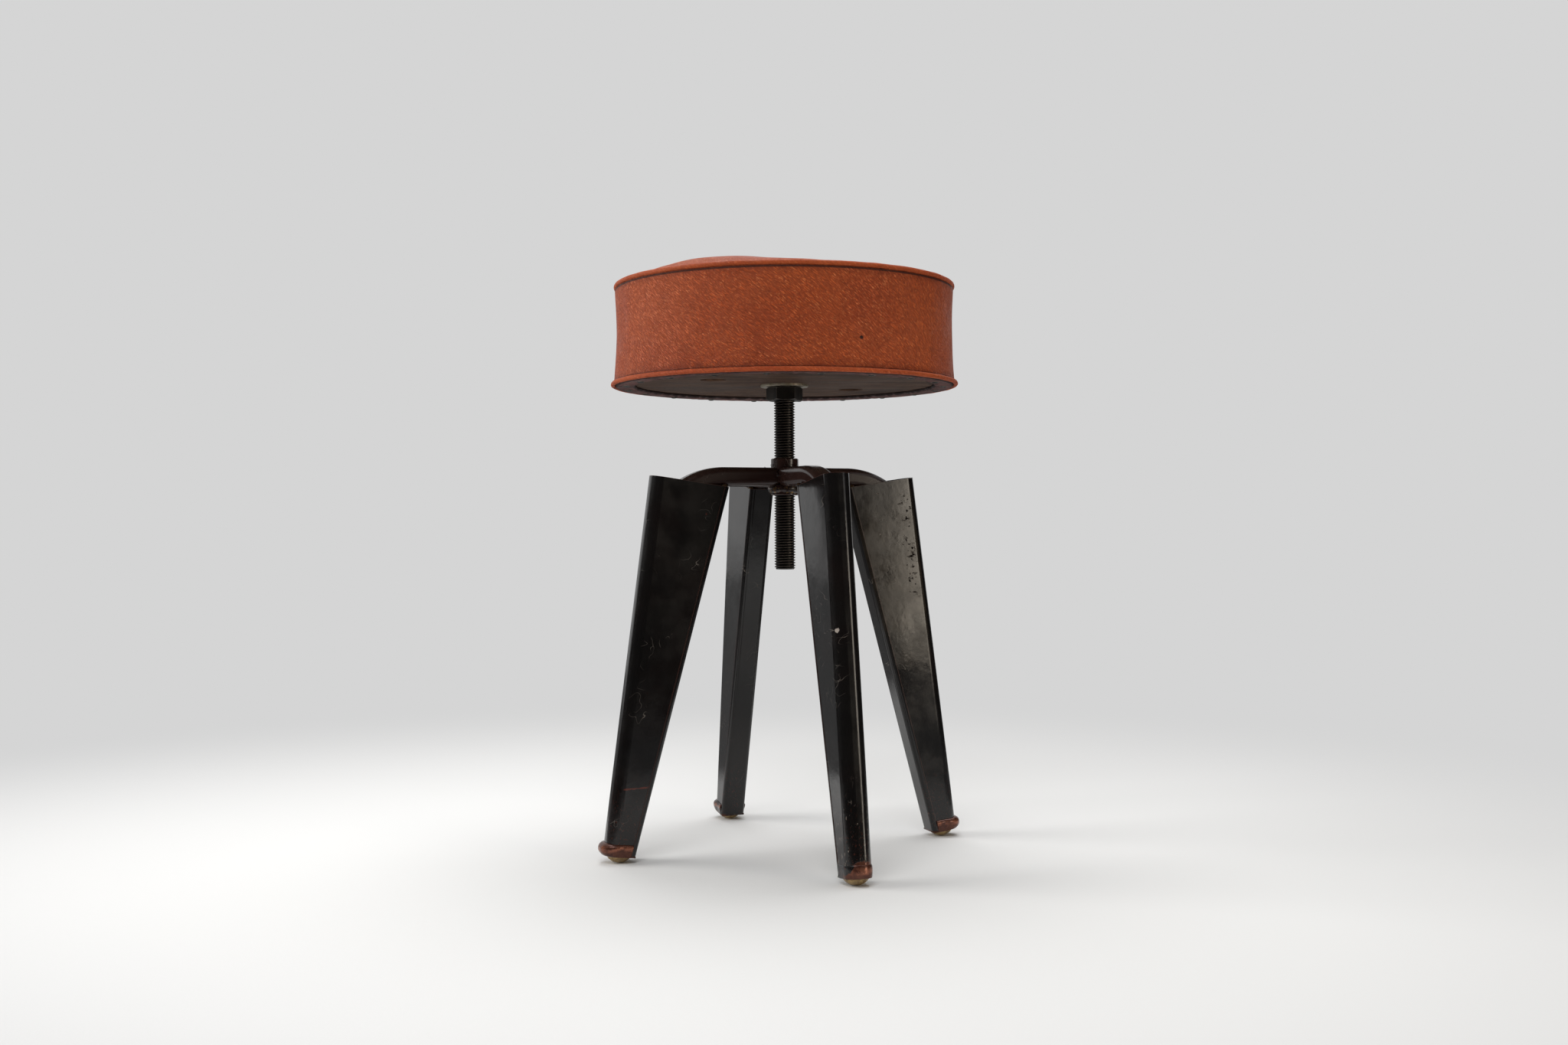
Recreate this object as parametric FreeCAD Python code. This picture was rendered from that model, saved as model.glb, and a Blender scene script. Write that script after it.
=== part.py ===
import FreeCAD, Part
import math
import os

# Machinist stool: an upholstered round seat on a long screw that turns in the hub of a four-legged
# sheet-metal frame. Sizes are in millimetres, Z is up, and the origin is on the floor under the screw.
# The cross arms lie along X and Y, so the legs stand at +X (right), +Y (back), -X (left), -Y (front).

vec = FreeCAD.Vector
origin = vec(0, 0, 0)
up = vec(0, 0, 1)
out_dir = "parts"

# Screw, nuts and washer
thread_pitch = 2.5
screw_radius = 10.0
thread_root_radius = 8.47
thread_crest = 0.31
thread_flank_angle = 30.0
screw_bottom_z = 263.6
screw_top_z = 472.0
screw_chamfer = 1.8
nut_across_flats = 30.0
nut_height = 13.2
nut_turn = 13.3
nut_bore_radius = 10.1
washer_radius = 22.6
washer_thickness = 2.0

# Seat board, its vent holes, and the clamping plate on top of it
board_under_z = 438.0
board_radius = 157.6
board_thickness = 15.0
board_edge_round = 2.0
screw_hole_radius = 10.6
vent_radius = 12.0
vent_circle_radius = 85.0
vent_angle = 19.0
plate_radius = 34.0
plate_thickness = 3.0

# Upholstery
cover_thickness = 1.4
padding_gap = 0.4
piping_radius = 2.2
piping_top_z = 528.2
piping_bottom_z = 437.5
piping_top_circle = 158.3
piping_bottom_circle = 161.4
band_bottom_radius = 160.6
band_waist_radius = 158.0
band_top_radius = 159.4
band_waist_z = 484.0
crown_z = 546.0
crown_shoulder = (134.0, 534.9)
crown_slope = (100.0, 539.9)
crown_inner = (50.0, 544.6)
crown_flat_radius = 2.0
cavity_radius = 38.0
cavity_top_z = 477.0

# Turned-under hem and its tacks
hem_inner_radius = 140.5
hem_outer_radius = 158.9
hem_thickness = 3.2
hem_edge = 1.2
tack_count = 20
tack_circle_radius = 149.5
tack_head_radius = 3.6
tack_head_height = 1.1
tack_flat_radius = 0.6
tack_shank_radius = 0.9
tack_shank_length = 11.0

# Hub
sleeve_radius = 13.0
sleeve_bore_radius = 10.08
sleeve_bottom_z = 333.6
sleeve_top_z = 368.2
sleeve_chamfer = 0.7
weld_flare = 4.6
weld_height = 5.2
weld_under = 4.6
braze_width = 1.8

# Flattened tubes that cross at the hub
tube_width = 21.0
tube_height = 18.0
tube_corner = 6.0
tube_wall = 1.8
tube_centre_z = 350.6
bend_start = 62.0
bend_radius = 70.0
bend_angle = 51.0

# Legs: the nose line and the inner line each run between two points in the leg's own plane
leg_high_z = 350.0
leg_low_z = 25.0
nose_high_x = 132.2
nose_low_x = 175.2
inner_high_x = 56.2
inner_low_x = 144.6
leg_half_width = 12.0
sheet = 1.5
nose_corner = 10.0
channel_corner = 4.6
channel_flange = 5.2
channel_lip = 0.35
top_nose_z = 351.4
top_inner_z = 340.8
foot_nose_z = 7.8
foot_inner_z = 4.4

# Foot shoes and glides: shoe_swell gives, from the bottom up, each layer's share of the height and of
# the bulge; the front shoe lies almost flush
shoe_plate = 1.6
shoe_height = 11.4
shoe_side_bulge = 2.2
shoe_nose_bulge = 5.2
front_side_bulge = 0.9
front_nose_bulge = 1.1
shoe_rim = 0.5
shoe_swell = [(0.0, 0.0), (0.16, 0.3), (0.34, 0.62), (0.52, 0.88), (0.7, 1.0), (0.87, 0.86), (1.0, 0.1)]
glide_x = 162.6
glide_radius = 11.4
glide_rise = 6.2
glide_flat_radius = 3.2
stem_radius = 3.0
stem_length = 9.0

# Braze beads at the leg tops
bead_radius = 3.0
bead_sink = 0.8
bead_x = 64.0

leg_angles = {"right": 0.0, "back": 90.0, "left": 180.0, "front": 270.0}


def at(radius, z):
    """A point in the XZ half plane."""
    return vec(radius, 0, z)


def outline(start, *steps):
    """A closed face: a step that is one point is a line, a pair of points is an arc through the first."""
    edges = []
    here = start
    for step in steps:
        if isinstance(step, tuple):
            edges.append(Part.Arc(here, step[0], step[1]).toShape())
            here = step[1]
        else:
            edges.append(Part.makeLine(here, step))
            here = step
    if here.distanceToPoint(start) > 1e-6:
        edges.append(Part.makeLine(here, start))
    return Part.Face(Part.Wire(edges))


def turned(face):
    """A full turn of a half-plane face about the Z axis."""
    return face.revolve(origin, up, 360)


def ring(inner, outer, low_z, high_z):
    return turned(outline(at(inner, low_z), at(outer, low_z), at(outer, high_z), at(inner, high_z)))


def torus(circle, z, radius):
    return Part.makeTorus(circle, radius, vec(0, 0, z))


def placed(shape, angle):
    """A copy of a shape made in the +X leg's place, turned about the screw."""
    copy = shape.copy()
    copy.rotate(origin, up, angle)
    return copy


def slab(corners, half_depth):
    """A prism through the XZ points in corners, half_depth deep each way along Y."""
    points = [vec(x, -half_depth, z) for x, z in corners]
    return Part.Face(Part.makePolygon(points + [points[0]])).extrude(vec(0, 2 * half_depth, 0))


def save(shape, node):
    """Writes one node and prints its size, as a record of the build."""
    if len(shape.Solids) == 1:
        shape = shape.Solids[0]
    shape.exportStep(os.path.join(out_dir, node + ".step"))
    box = shape.BoundBox
    print(
        f"{node}: valid {shape.isValid()}, solids {len(shape.Solids)}, volume {shape.Volume:.0f}, "
        f"x {box.XMin:.1f} {box.XMax:.1f} y {box.YMin:.1f} {box.YMax:.1f} z {box.ZMin:.1f} {box.ZMax:.1f}"
    )


# Screw

def screw_rod():
    """The threaded bar. Its skin is ruled strips between helices, one turn at a time, in the order
    crest, flank, root, flank; the bar is then trimmed to length with a chamfer at each end."""
    flank = (screw_radius - thread_root_radius) * math.tan(math.radians(thread_flank_angle))
    root_start = thread_crest + flank
    root_end = thread_pitch - flank
    corners = [
        (screw_radius, 0.0),
        (screw_radius, thread_crest),
        (thread_root_radius, root_start),
        (thread_root_radius, root_end),
    ]
    length = screw_top_z - screw_bottom_z
    turns = math.ceil(length / thread_pitch) + 3
    top_z = turns * thread_pitch
    first_turn = [
        Part.makeHelix(thread_pitch, thread_pitch, radius).Edges[0].translated(vec(0, 0, z))
        for radius, z in corners
    ]

    def helix_edge(index):
        turn, corner = divmod(index, len(corners))
        return first_turn[corner].translated(vec(0, 0, turn * thread_pitch))

    def end_cap(z, edge):
        axis = Part.makeLine(vec(0, 0, z), vec(0, 0, z + thread_pitch))
        return Part.makeRuledSurface(axis, edge)

    def end_wall(z):
        points = [vec(0, 0, z)]
        points += [at(radius, z + dz) for radius, dz in corners]
        points += [at(screw_radius, z + thread_pitch), vec(0, 0, z + thread_pitch)]
        return Part.Face(Part.makePolygon(points + [points[0]]))

    faces = []
    lower = helix_edge(0)
    faces.append(end_cap(0, lower))
    for index in range(1, turns * len(corners) + 1):
        upper = helix_edge(index)
        faces.append(Part.makeRuledSurface(lower, upper))
        lower = upper
    faces.append(end_cap(top_z, lower))
    faces.append(end_wall(0))
    faces.append(end_wall(top_z))
    skin = Part.makeShell(faces)
    skin.sewShape()
    bar = Part.makeSolid(skin.Shells[0])
    if bar.Volume < 0:
        bar.reverse()
    bar.translate(vec(0, 0, screw_bottom_z - 1.5 * thread_pitch))
    clear_radius = screw_radius + 1
    end_radius = screw_radius - screw_chamfer
    rise = clear_radius - end_radius
    trim = turned(outline(
        at(0, screw_bottom_z),
        at(end_radius, screw_bottom_z),
        at(clear_radius, screw_bottom_z + rise),
        at(clear_radius, screw_top_z - rise),
        at(end_radius, screw_top_z),
        at(0, screw_top_z),
    ))
    return bar.common(trim)


def nut(low_z, height):
    """A hexagon nut with chamfered corners on both faces."""
    corner_radius = nut_across_flats / math.sqrt(3)
    points = []
    for side in range(6):
        angle = math.radians(nut_turn + 30 + 60 * side)
        points.append(vec(corner_radius * math.cos(angle), corner_radius * math.sin(angle), low_z))
    prism = Part.Face(Part.makePolygon(points + [points[0]])).extrude(vec(0, 0, height))
    face_radius = nut_across_flats / 2 - 0.3
    drop = (corner_radius + 0.5 - face_radius) * math.tan(math.radians(30))
    high_z = low_z + height
    lens = turned(outline(
        at(nut_bore_radius, low_z),
        at(face_radius, low_z),
        at(corner_radius + 0.5, low_z + drop),
        at(corner_radius + 0.5, high_z - drop),
        at(face_radius, high_z),
        at(nut_bore_radius, high_z),
    ))
    return prism.common(lens)


def seat_washer():
    low_z = board_under_z - washer_thickness
    edge = 0.3
    return turned(outline(
        at(screw_hole_radius, low_z),
        at(washer_radius - edge, low_z),
        at(washer_radius, low_z + edge),
        at(washer_radius, board_under_z),
        at(screw_hole_radius, board_under_z),
    ))


# Seat

def vent_holes(low_z, high_z):
    holes = []
    for angle in (vent_angle, vent_angle + 180):
        hole = Part.makeCylinder(vent_radius, high_z - low_z, vec(vent_circle_radius, 0, low_z))
        holes.append(placed(hole, angle))
    return holes


def tack_spots():
    step = 360 / tack_count
    return [step * (index + 0.5) for index in range(tack_count)]


def seat_board():
    """The disc, with a rounded lower edge, the screw hole, both vent holes and the tack holes."""
    top_z = board_under_z + board_thickness
    disc = turned(outline(
        at(screw_hole_radius, board_under_z),
        at(board_radius - board_edge_round, board_under_z),
        at(board_radius, board_under_z + board_edge_round),
        at(board_radius, top_z),
        at(screw_hole_radius, top_z),
    ))
    disc = disc.cut(vent_holes(board_under_z - 1, top_z + 1))
    return disc.cut([tack_shank(angle) for angle in tack_spots()])


def tack_shank(angle):
    low_z = board_under_z - hem_thickness
    length = tack_shank_length
    return placed(Part.makeCylinder(tack_shank_radius, length, vec(tack_circle_radius, 0, low_z)), angle)


def hem_tacks():
    """Domed heads under the hem, each with its shank up through the hem into the board."""
    tacks = []
    seat_z = board_under_z - hem_thickness
    for angle in tack_spots():
        head = turned(outline(
            at(0, seat_z),
            at(0, seat_z - tack_head_height),
            at(tack_flat_radius, seat_z - tack_head_height),
            (at(0.66 * tack_head_radius, seat_z - 0.72 * tack_head_height), at(tack_head_radius, seat_z)),
        ))
        head.translate(vec(tack_circle_radius, 0, 0))
        tacks.append(placed(head, angle).fuse(tack_shank(angle)))
    return Part.makeCompound(tacks)


def band_face(inset, low_z, high_z):
    """Half section inside the drawn-in side of the seat, inset inwards, from the axis out."""
    return outline(
        at(0, low_z),
        at(band_bottom_radius - inset, low_z),
        (at(band_waist_radius - inset, band_waist_z), at(band_top_radius - inset, high_z)),
        at(0, high_z),
    )


def crown_face(drop, rim_radius, low_z):
    """Half section under the crown, drop lower than its skin, with a flat underside at low_z."""
    rim_z = piping_top_z + 0.4 * piping_radius - drop
    return outline(
        at(0, low_z),
        at(rim_radius, low_z),
        at(rim_radius, rim_z),
        (
            at(crown_shoulder[0], crown_shoulder[1] - drop),
            at(crown_slope[0], crown_slope[1] - drop),
        ),
        (at(crown_inner[0], crown_inner[1] - drop), at(crown_flat_radius, crown_z - drop)),
        at(0, crown_z - drop),
    )


def pipings():
    top = torus(piping_top_circle, piping_top_z, piping_radius)
    bottom = torus(piping_bottom_circle, piping_bottom_z, piping_radius)
    return top, bottom


def cover_top():
    """The crowned top panel, a skin that ends against the top piping."""
    rim = piping_top_circle - 0.6 * piping_radius
    low_z = piping_top_z - 2 * piping_radius
    skin = turned(crown_face(0, rim, low_z)).cut(turned(crown_face(cover_thickness, rim + 1, low_z - 1)))
    top, _ = pipings()
    return skin.cut(top)


def cover_band():
    """The side band between the two rings of piping, drawn in at the waist."""
    low_z = piping_bottom_z + 0.8 * piping_radius
    high_z = piping_top_z - 0.8 * piping_radius
    band = turned(band_face(0, low_z, high_z)).cut(turned(band_face(cover_thickness, low_z, high_z)))
    return band.cut(list(pipings()))


def seat_padding():
    """Foam with the crown and the drawn-in sides, hollowed over the upper nut and its plate."""
    low_z = board_under_z + board_thickness
    inset = cover_thickness + padding_gap
    shoulder_z = piping_top_z - 1.2 * piping_radius
    side = turned(band_face(inset, piping_bottom_z, shoulder_z))
    side = side.cut(Part.makeCylinder(band_bottom_radius + 5, low_z, origin))
    crown = turned(crown_face(inset, piping_top_circle - 1.6 * piping_radius, shoulder_z - 5))
    block = side.fuse(crown).removeSplitter()
    top, _ = pipings()
    block = block.cut(top)
    return block.cut(Part.makeCylinder(cavity_radius, cavity_top_z - low_z, vec(0, 0, low_z)))


def cover_hem():
    """The turned-under edge of the cover, flat against the board inside the bottom piping."""
    low_z = board_under_z - hem_thickness
    band = turned(outline(
        at(hem_inner_radius, board_under_z),
        at(hem_inner_radius + 0.4 * hem_edge, low_z + hem_edge),
        at(hem_inner_radius + 2 * hem_edge, low_z),
        at(hem_outer_radius - hem_edge, low_z),
        at(hem_outer_radius, low_z + hem_edge),
        at(hem_outer_radius, board_under_z),
    ))
    _, bottom = pipings()
    band = band.cut(bottom)
    return band.cut([tack_shank(angle) for angle in tack_spots()])


# Hub and cross arms

def tube_face(x, inset):
    """The flattened tube's rounded section in the plane at x."""
    half_width = tube_width / 2 - inset
    half_height = tube_height / 2 - inset
    corner = tube_corner - inset
    square = (1 - math.sqrt(0.5)) * corner

    def spot(y, z):
        return vec(x, y, tube_centre_z + z)

    edges = []
    for side_y, side_z in ((1, 1), (-1, 1), (-1, -1), (1, -1)):
        end = spot(side_y * half_width, side_z * (half_height - corner))
        middle = spot(side_y * (half_width - square), side_z * (half_height - square))
        start = spot(side_y * (half_width - corner), side_z * half_height)
        if side_y * side_z > 0:
            start, end = end, start
        edges.append(Part.Arc(start, middle, end).toShape())
    joined = []
    for index, edge in enumerate(edges):
        after = edges[(index + 1) % 4]
        joined.append(edge)
        joined.append(Part.makeLine(edge.valueAt(edge.LastParameter), after.valueAt(after.FirstParameter)))
    return Part.Face(Part.Wire(joined))


def tube_solid(start_x, inset):
    """A cross arm towards +X: straight from start_x to the bend, then down into the leg."""
    straight = tube_face(start_x, inset).extrude(vec(bend_start - start_x, 0, 0))
    pivot = vec(bend_start, 0, tube_centre_z - bend_radius)
    bent = tube_face(bend_start, inset).revolve(pivot, vec(0, 1, 0), bend_angle)
    return straight.fuse(bent).removeSplitter()


def sleeve_space():
    return Part.makeCylinder(sleeve_radius, 60, vec(0, 0, tube_centre_z - 30))


def cross_arm():
    """A tube from the sleeve out to one leg, square-cut beside its neighbours."""
    start_x = tube_width / 2
    return tube_solid(start_x, 0).cut(tube_solid(start_x, tube_wall)).cut(sleeve_space())


def tube_envelope():
    """Everything that the four arms fill, as solid bars."""
    arm = tube_solid(0, 0)
    return [placed(arm, angle) for angle in leg_angles.values()]


def hub_sleeve():
    return turned(outline(
        at(sleeve_bore_radius, sleeve_bottom_z),
        at(sleeve_radius - sleeve_chamfer, sleeve_bottom_z),
        at(sleeve_radius, sleeve_bottom_z + sleeve_chamfer),
        at(sleeve_radius, sleeve_top_z - sleeve_chamfer),
        at(sleeve_radius - sleeve_chamfer, sleeve_top_z),
        at(sleeve_bore_radius, sleeve_top_z),
    ))


def hub_weld():
    """Weld that flares from the sleeve onto the tubes and fills the four corners between them."""
    top_z = tube_centre_z + tube_height / 2
    bottom_z = tube_centre_z - tube_height / 2
    flare_radius = sleeve_radius + weld_flare
    body = turned(outline(
        at(sleeve_radius, bottom_z - weld_under),
        (at(sleeve_radius + 0.45 * weld_flare, bottom_z - 0.45 * weld_under), at(flare_radius, bottom_z)),
        at(flare_radius, top_z),
        (at(sleeve_radius + 0.3 * weld_flare, top_z + 0.3 * weld_height), at(sleeve_radius, top_z + weld_height)),
    ))
    return body.cut(tube_envelope())


def hub_braze():
    """A bead of braze round the foot of the sleeve, under the weld."""
    low_z = sleeve_bottom_z + sleeve_chamfer
    high_z = tube_centre_z - tube_height / 2 - weld_under
    middle_z = (low_z + high_z) / 2
    return turned(outline(
        at(sleeve_radius, low_z),
        (at(sleeve_radius + braze_width, middle_z), at(sleeve_radius, high_z)),
    ))


# Legs, made in the +X leg's place

def on_line(z, high_x, low_x):
    share = (leg_high_z - z) / (leg_high_z - leg_low_z)
    return high_x + (low_x - high_x) * share


def nose_x(z):
    return on_line(z, nose_high_x, nose_low_x)


def inner_x(z):
    return on_line(z, inner_high_x, inner_low_x)


def rounded_end(z, open_x, round_x, half_width, corner):
    """A closed outline at height z: square at open_x, with two rounded corners at round_x."""
    side = 1 if round_x > open_x else -1
    square = (1 - math.sqrt(0.5)) * corner
    back_x = round_x - side * corner
    edges = [
        Part.makeLine(vec(open_x, -half_width, z), vec(back_x, -half_width, z)),
        Part.Arc(
            vec(back_x, -half_width, z),
            vec(round_x - side * square, -half_width + square, z),
            vec(round_x, -half_width + corner, z),
        ).toShape(),
        Part.makeLine(vec(round_x, -half_width + corner, z), vec(round_x, half_width - corner, z)),
        Part.Arc(
            vec(round_x, half_width - corner, z),
            vec(round_x - side * square, half_width - square, z),
            vec(back_x, half_width, z),
        ).toShape(),
        Part.makeLine(vec(back_x, half_width, z), vec(open_x, half_width, z)),
        Part.makeLine(vec(open_x, half_width, z), vec(open_x, -half_width, z)),
    ]
    return Part.Wire(edges)


def tapered(make_outline):
    """A straight loft between the same outline well below the floor and well above the leg top."""
    return Part.makeLoft([make_outline(-20), make_outline(380)], True, True)


def foot_z(x, lift):
    """Height of the leg's square-cut foot at distance x from the screw, raised by lift."""
    x_nose = nose_x(foot_nose_z)
    x_inner = inner_x(foot_inner_z)
    slope = (foot_nose_z - foot_inner_z) / (x_nose - x_inner)
    return foot_inner_z + (x - x_inner) * slope + lift


def top_z_at(x):
    x_nose = nose_x(top_nose_z)
    x_inner = inner_x(top_inner_z)
    return top_inner_z + (x - x_inner) * (top_nose_z - top_inner_z) / (x_nose - x_inner)


def leg_length_slab():
    """Everything between the slanted foot cut and the slanted top cut."""
    near_x = 20.0
    far_x = 220.0
    corners = [
        (near_x, foot_z(near_x, shoe_plate)),
        (far_x, foot_z(far_x, shoe_plate)),
        (far_x, top_z_at(far_x)),
        (near_x, top_z_at(near_x)),
    ]
    return slab(corners, 40)


def leg_shell():
    """The folded outer sheet: nose and two tapering sides, open towards the screw."""
    outside = tapered(lambda z: rounded_end(
        z, inner_x(z) + channel_flange, nose_x(z), leg_half_width, nose_corner))
    inside = tapered(lambda z: rounded_end(
        z, inner_x(z) - 8, nose_x(z) - sheet, leg_half_width - sheet, nose_corner - sheet))
    return outside.cut(inside).common(leg_length_slab())


def leg_channel():
    """The channel that closes the leg's inner side, with short flanges that meet the shell's edges."""
    half_width = leg_half_width + channel_lip
    outside = tapered(lambda z: rounded_end(
        z, inner_x(z) + channel_flange, inner_x(z), half_width, channel_corner))
    inside = tapered(lambda z: rounded_end(
        z, inner_x(z) + channel_flange + 8, inner_x(z) + sheet, half_width - sheet, channel_corner - sheet))
    return outside.cut(inside).common(leg_length_slab())


def leg_space():
    """The leg's full outer form above the shoe plate, as one bar."""
    shell_bar = tapered(lambda z: rounded_end(
        z, inner_x(z) + channel_flange - 1, nose_x(z), leg_half_width, nose_corner))
    channel_bar = tapered(lambda z: rounded_end(
        z, inner_x(z) + channel_flange, inner_x(z), leg_half_width + channel_lip, channel_corner))
    return [shell_bar.common(leg_length_slab()), channel_bar.common(leg_length_slab())]


def foot_shoe(most_at_nose, most_at_sides):
    """A cap under the foot whose wall swells into a bead round the nose and both sides."""
    wires = []
    for share, swell in shoe_swell:
        lift = shoe_height * share
        x_nose = nose_x(foot_nose_z + lift)
        x_open = inner_x(foot_inner_z + lift) + channel_flange
        nose_bulge = shoe_rim + (most_at_nose - shoe_rim) * swell
        side_bulge = shoe_rim + (most_at_sides - shoe_rim) * swell
        wire = rounded_end(0, x_open, x_nose + nose_bulge, leg_half_width + side_bulge, nose_corner + 1)
        slope = math.atan2(foot_nose_z - foot_inner_z, nose_x(foot_nose_z) - inner_x(foot_inner_z))
        base_z = foot_z(x_nose, lift)
        wire.rotate(vec(x_nose, 0, 0), vec(0, 1, 0), -math.degrees(slope))
        wire.translate(vec(0, 0, base_z))
        wires.append(wire)
    body = Part.makeLoft(wires, True, True)
    low_x = inner_x(foot_inner_z)
    open_x = low_x + channel_flange + 1
    plate = slab([
        (low_x, foot_z(low_x, 0)),
        (open_x, foot_z(open_x, 0)),
        (open_x, foot_z(open_x, shoe_plate)),
        (low_x, foot_z(low_x, shoe_plate)),
    ], leg_half_width)
    shoe = body.fuse(plate)
    for bar in leg_space():
        shoe = shoe.cut(bar)
    return shoe.cut(Part.makeCylinder(stem_radius, 40, vec(glide_x, 0, 0)))


def foot_glide():
    """A domed glide with a small worn flat on the floor and a stem up through the shoe."""
    dome_radius = (glide_radius ** 2 + glide_rise ** 2) / (2 * glide_rise)
    centre_z = math.sqrt(dome_radius ** 2 - glide_flat_radius ** 2)
    ball = Part.makeSphere(dome_radius, vec(glide_x, 0, centre_z))
    near_x = glide_x - 30
    far_x = glide_x + 30
    below_shoe = slab([
        (near_x, 0),
        (far_x, 0),
        (far_x, foot_z(far_x, 0)),
        (near_x, foot_z(near_x, 0)),
    ], 30)
    dome = ball.common(below_shoe)
    stem_foot_z = foot_z(glide_x, 0) - 1
    stem = Part.makeCylinder(stem_radius, stem_length, vec(glide_x, 0, stem_foot_z))
    return dome.fuse(stem).removeSplitter()


def leg_braze():
    """Two beads of braze on the leg's cut top, where the channel meets the shell's sides."""
    far_x = bead_x + 3 * bead_radius
    near_x = bead_x - 3 * bead_radius
    above_top = slab([
        (near_x, top_z_at(near_x)),
        (far_x, top_z_at(far_x)),
        (far_x, top_z_at(far_x) + 3 * bead_radius),
        (near_x, top_z_at(near_x) + 3 * bead_radius),
    ], 2 * leg_half_width)
    beads = []
    for side in (1, -1):
        middle = vec(bead_x, side * (leg_half_width - sheet / 2), top_z_at(bead_x) - bead_sink)
        beads.append(Part.makeSphere(bead_radius, middle).common(above_top))
    return Part.makeCompound(beads)


def build():
    os.makedirs("parts", exist_ok=True)
    board_top_z = board_under_z + board_thickness
    plate_top_z = board_top_z + plate_thickness
    nut_low_z = board_under_z - washer_thickness - nut_height
    top_piping, bottom_piping = pipings()
    save(screw_rod(), "screw_rod")
    save(nut(nut_low_z, nut_height), "seat_nut")
    save(seat_washer(), "seat_washer")
    save(seat_board(), "seat_board")
    save(ring(screw_hole_radius, plate_radius, board_top_z, plate_top_z), "clamp_plate")
    save(nut(plate_top_z, nut_height), "upper_nut")
    save(seat_padding(), "seat_padding")
    save(cover_top(), "cover_top")
    save(cover_band(), "cover_band")
    save(top_piping, "piping_top")
    save(bottom_piping, "piping_bottom")
    save(cover_hem(), "cover_hem")
    save(hem_tacks(), "hem_tacks")
    save(hub_sleeve(), "hub_sleeve")
    save(hub_weld(), "hub_weld")
    save(hub_braze(), "hub_braze")
    arm = cross_arm()
    shell = leg_shell()
    channel = leg_channel()
    shoe = foot_shoe(shoe_nose_bulge, shoe_side_bulge)
    front_shoe = foot_shoe(front_nose_bulge, front_side_bulge)
    glide = foot_glide()
    braze = leg_braze()
    for name, angle in leg_angles.items():
        save(placed(arm, angle), "cross_arm_" + name)
        save(placed(shell, angle), "leg_shell_" + name)
        save(placed(channel, angle), "leg_channel_" + name)
        save(placed(front_shoe if name == "front" else shoe, angle), "foot_shoe_" + name)
        save(placed(glide, angle), "foot_glide_" + name)
        save(placed(braze, angle), "leg_braze_" + name)


build()
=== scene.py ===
import math
import random

import bpy
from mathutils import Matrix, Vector, noise


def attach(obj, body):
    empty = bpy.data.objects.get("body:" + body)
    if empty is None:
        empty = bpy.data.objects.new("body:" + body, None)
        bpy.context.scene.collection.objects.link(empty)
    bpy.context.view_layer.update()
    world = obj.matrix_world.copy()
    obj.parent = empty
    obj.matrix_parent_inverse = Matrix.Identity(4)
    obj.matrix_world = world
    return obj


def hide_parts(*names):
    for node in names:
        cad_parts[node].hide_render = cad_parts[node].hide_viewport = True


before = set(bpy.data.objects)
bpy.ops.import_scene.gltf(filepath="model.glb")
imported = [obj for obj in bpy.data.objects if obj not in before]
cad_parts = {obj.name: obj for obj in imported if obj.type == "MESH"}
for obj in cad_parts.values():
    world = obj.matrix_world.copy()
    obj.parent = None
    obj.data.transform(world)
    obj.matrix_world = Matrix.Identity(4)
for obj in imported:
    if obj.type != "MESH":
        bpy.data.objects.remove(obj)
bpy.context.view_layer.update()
mm = 0.001
legTurns = {"right": 0, "back": 90, "left": 180, "front": 270}
print("frame loaded")


# Camera, floor and lights

cameraView = {
    "place": (-0.5340, -1.3712, 0.3066),
    "turn": -21.245,  # degrees about the upright, 0 looks along +Y
    "pitch": 0.05,
    "roll": 0.22,
    "lens": 35.69,
}

studio = {
    "backdrop": 0.665,
    "floorColour": 0.81,
    "floorRadius": 9.0,
    "floorColumns": 96,
    "floorDrop": 0.0003,
    "fadeFrom": 0.25,
    "fadeTo": 1.3,
    "paleEnds": (0.34, 0.5),
    "dimFloor": 0.3,
    "worldLight": 0.16,
    "screenSteps": 40,
    # name, turn from the camera side (right is positive), distance, height, size, power, colour
    "lamps": [
        ("softboxLeft", -88, 1.9, 0.90, (1.2, 1.5), 28, (1.0, 0.99, 0.97)),
        ("softboxFront", -12, 1.7, 2.1, (1.5, 1.0), 24, (1.0, 1.0, 1.0)),
        ("softboxTop", 165, 0.5, 2.3, (1.8, 1.4), 36, (1.0, 1.0, 1.0)),
        ("cardRight", 53.5, 2.15, 0.38, (0.86, 0.72), 8.8, (1.0, 0.88, 0.72)),
    ],
    # dark screens, seen in reflections only: name, start and end turn, distance, height
    "screens": [("screenFront", -105, 52.6, 0.95, 1.0), ("screenRight", 67, 135, 1.2, 1.1)],
}


def fromCameraSide(angle, distance, height):
    turn = math.radians(cameraView["turn"])
    toCamera = Vector((math.sin(turn), -math.cos(turn), 0))
    right = Vector((math.cos(turn), math.sin(turn), 0))
    angle = math.radians(angle)
    return toCamera * math.cos(angle) * distance + right * math.sin(angle) * distance + Vector((0, 0, height))


def makeCamera():
    data = bpy.data.cameras.new("camera")
    data.lens = cameraView["lens"]
    data.sensor_width = 36
    data.clip_start = 0.01
    camera = bpy.data.objects.new("camera", data)
    camera.location = cameraView["place"]
    camera.rotation_euler = (
        math.radians(90 + cameraView["pitch"]),
        math.radians(cameraView["roll"]),
        math.radians(cameraView["turn"]),
    )
    bpy.context.scene.collection.objects.link(camera)
    bpy.context.scene.camera = camera


# Shader helpers

# the node tree that the helpers below add to
work = {"tree": None}


def feed(socket, value):
    if isinstance(value, bpy.types.NodeSocket):
        work["tree"].links.new(value, socket)
    else:
        socket.default_value = value


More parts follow.
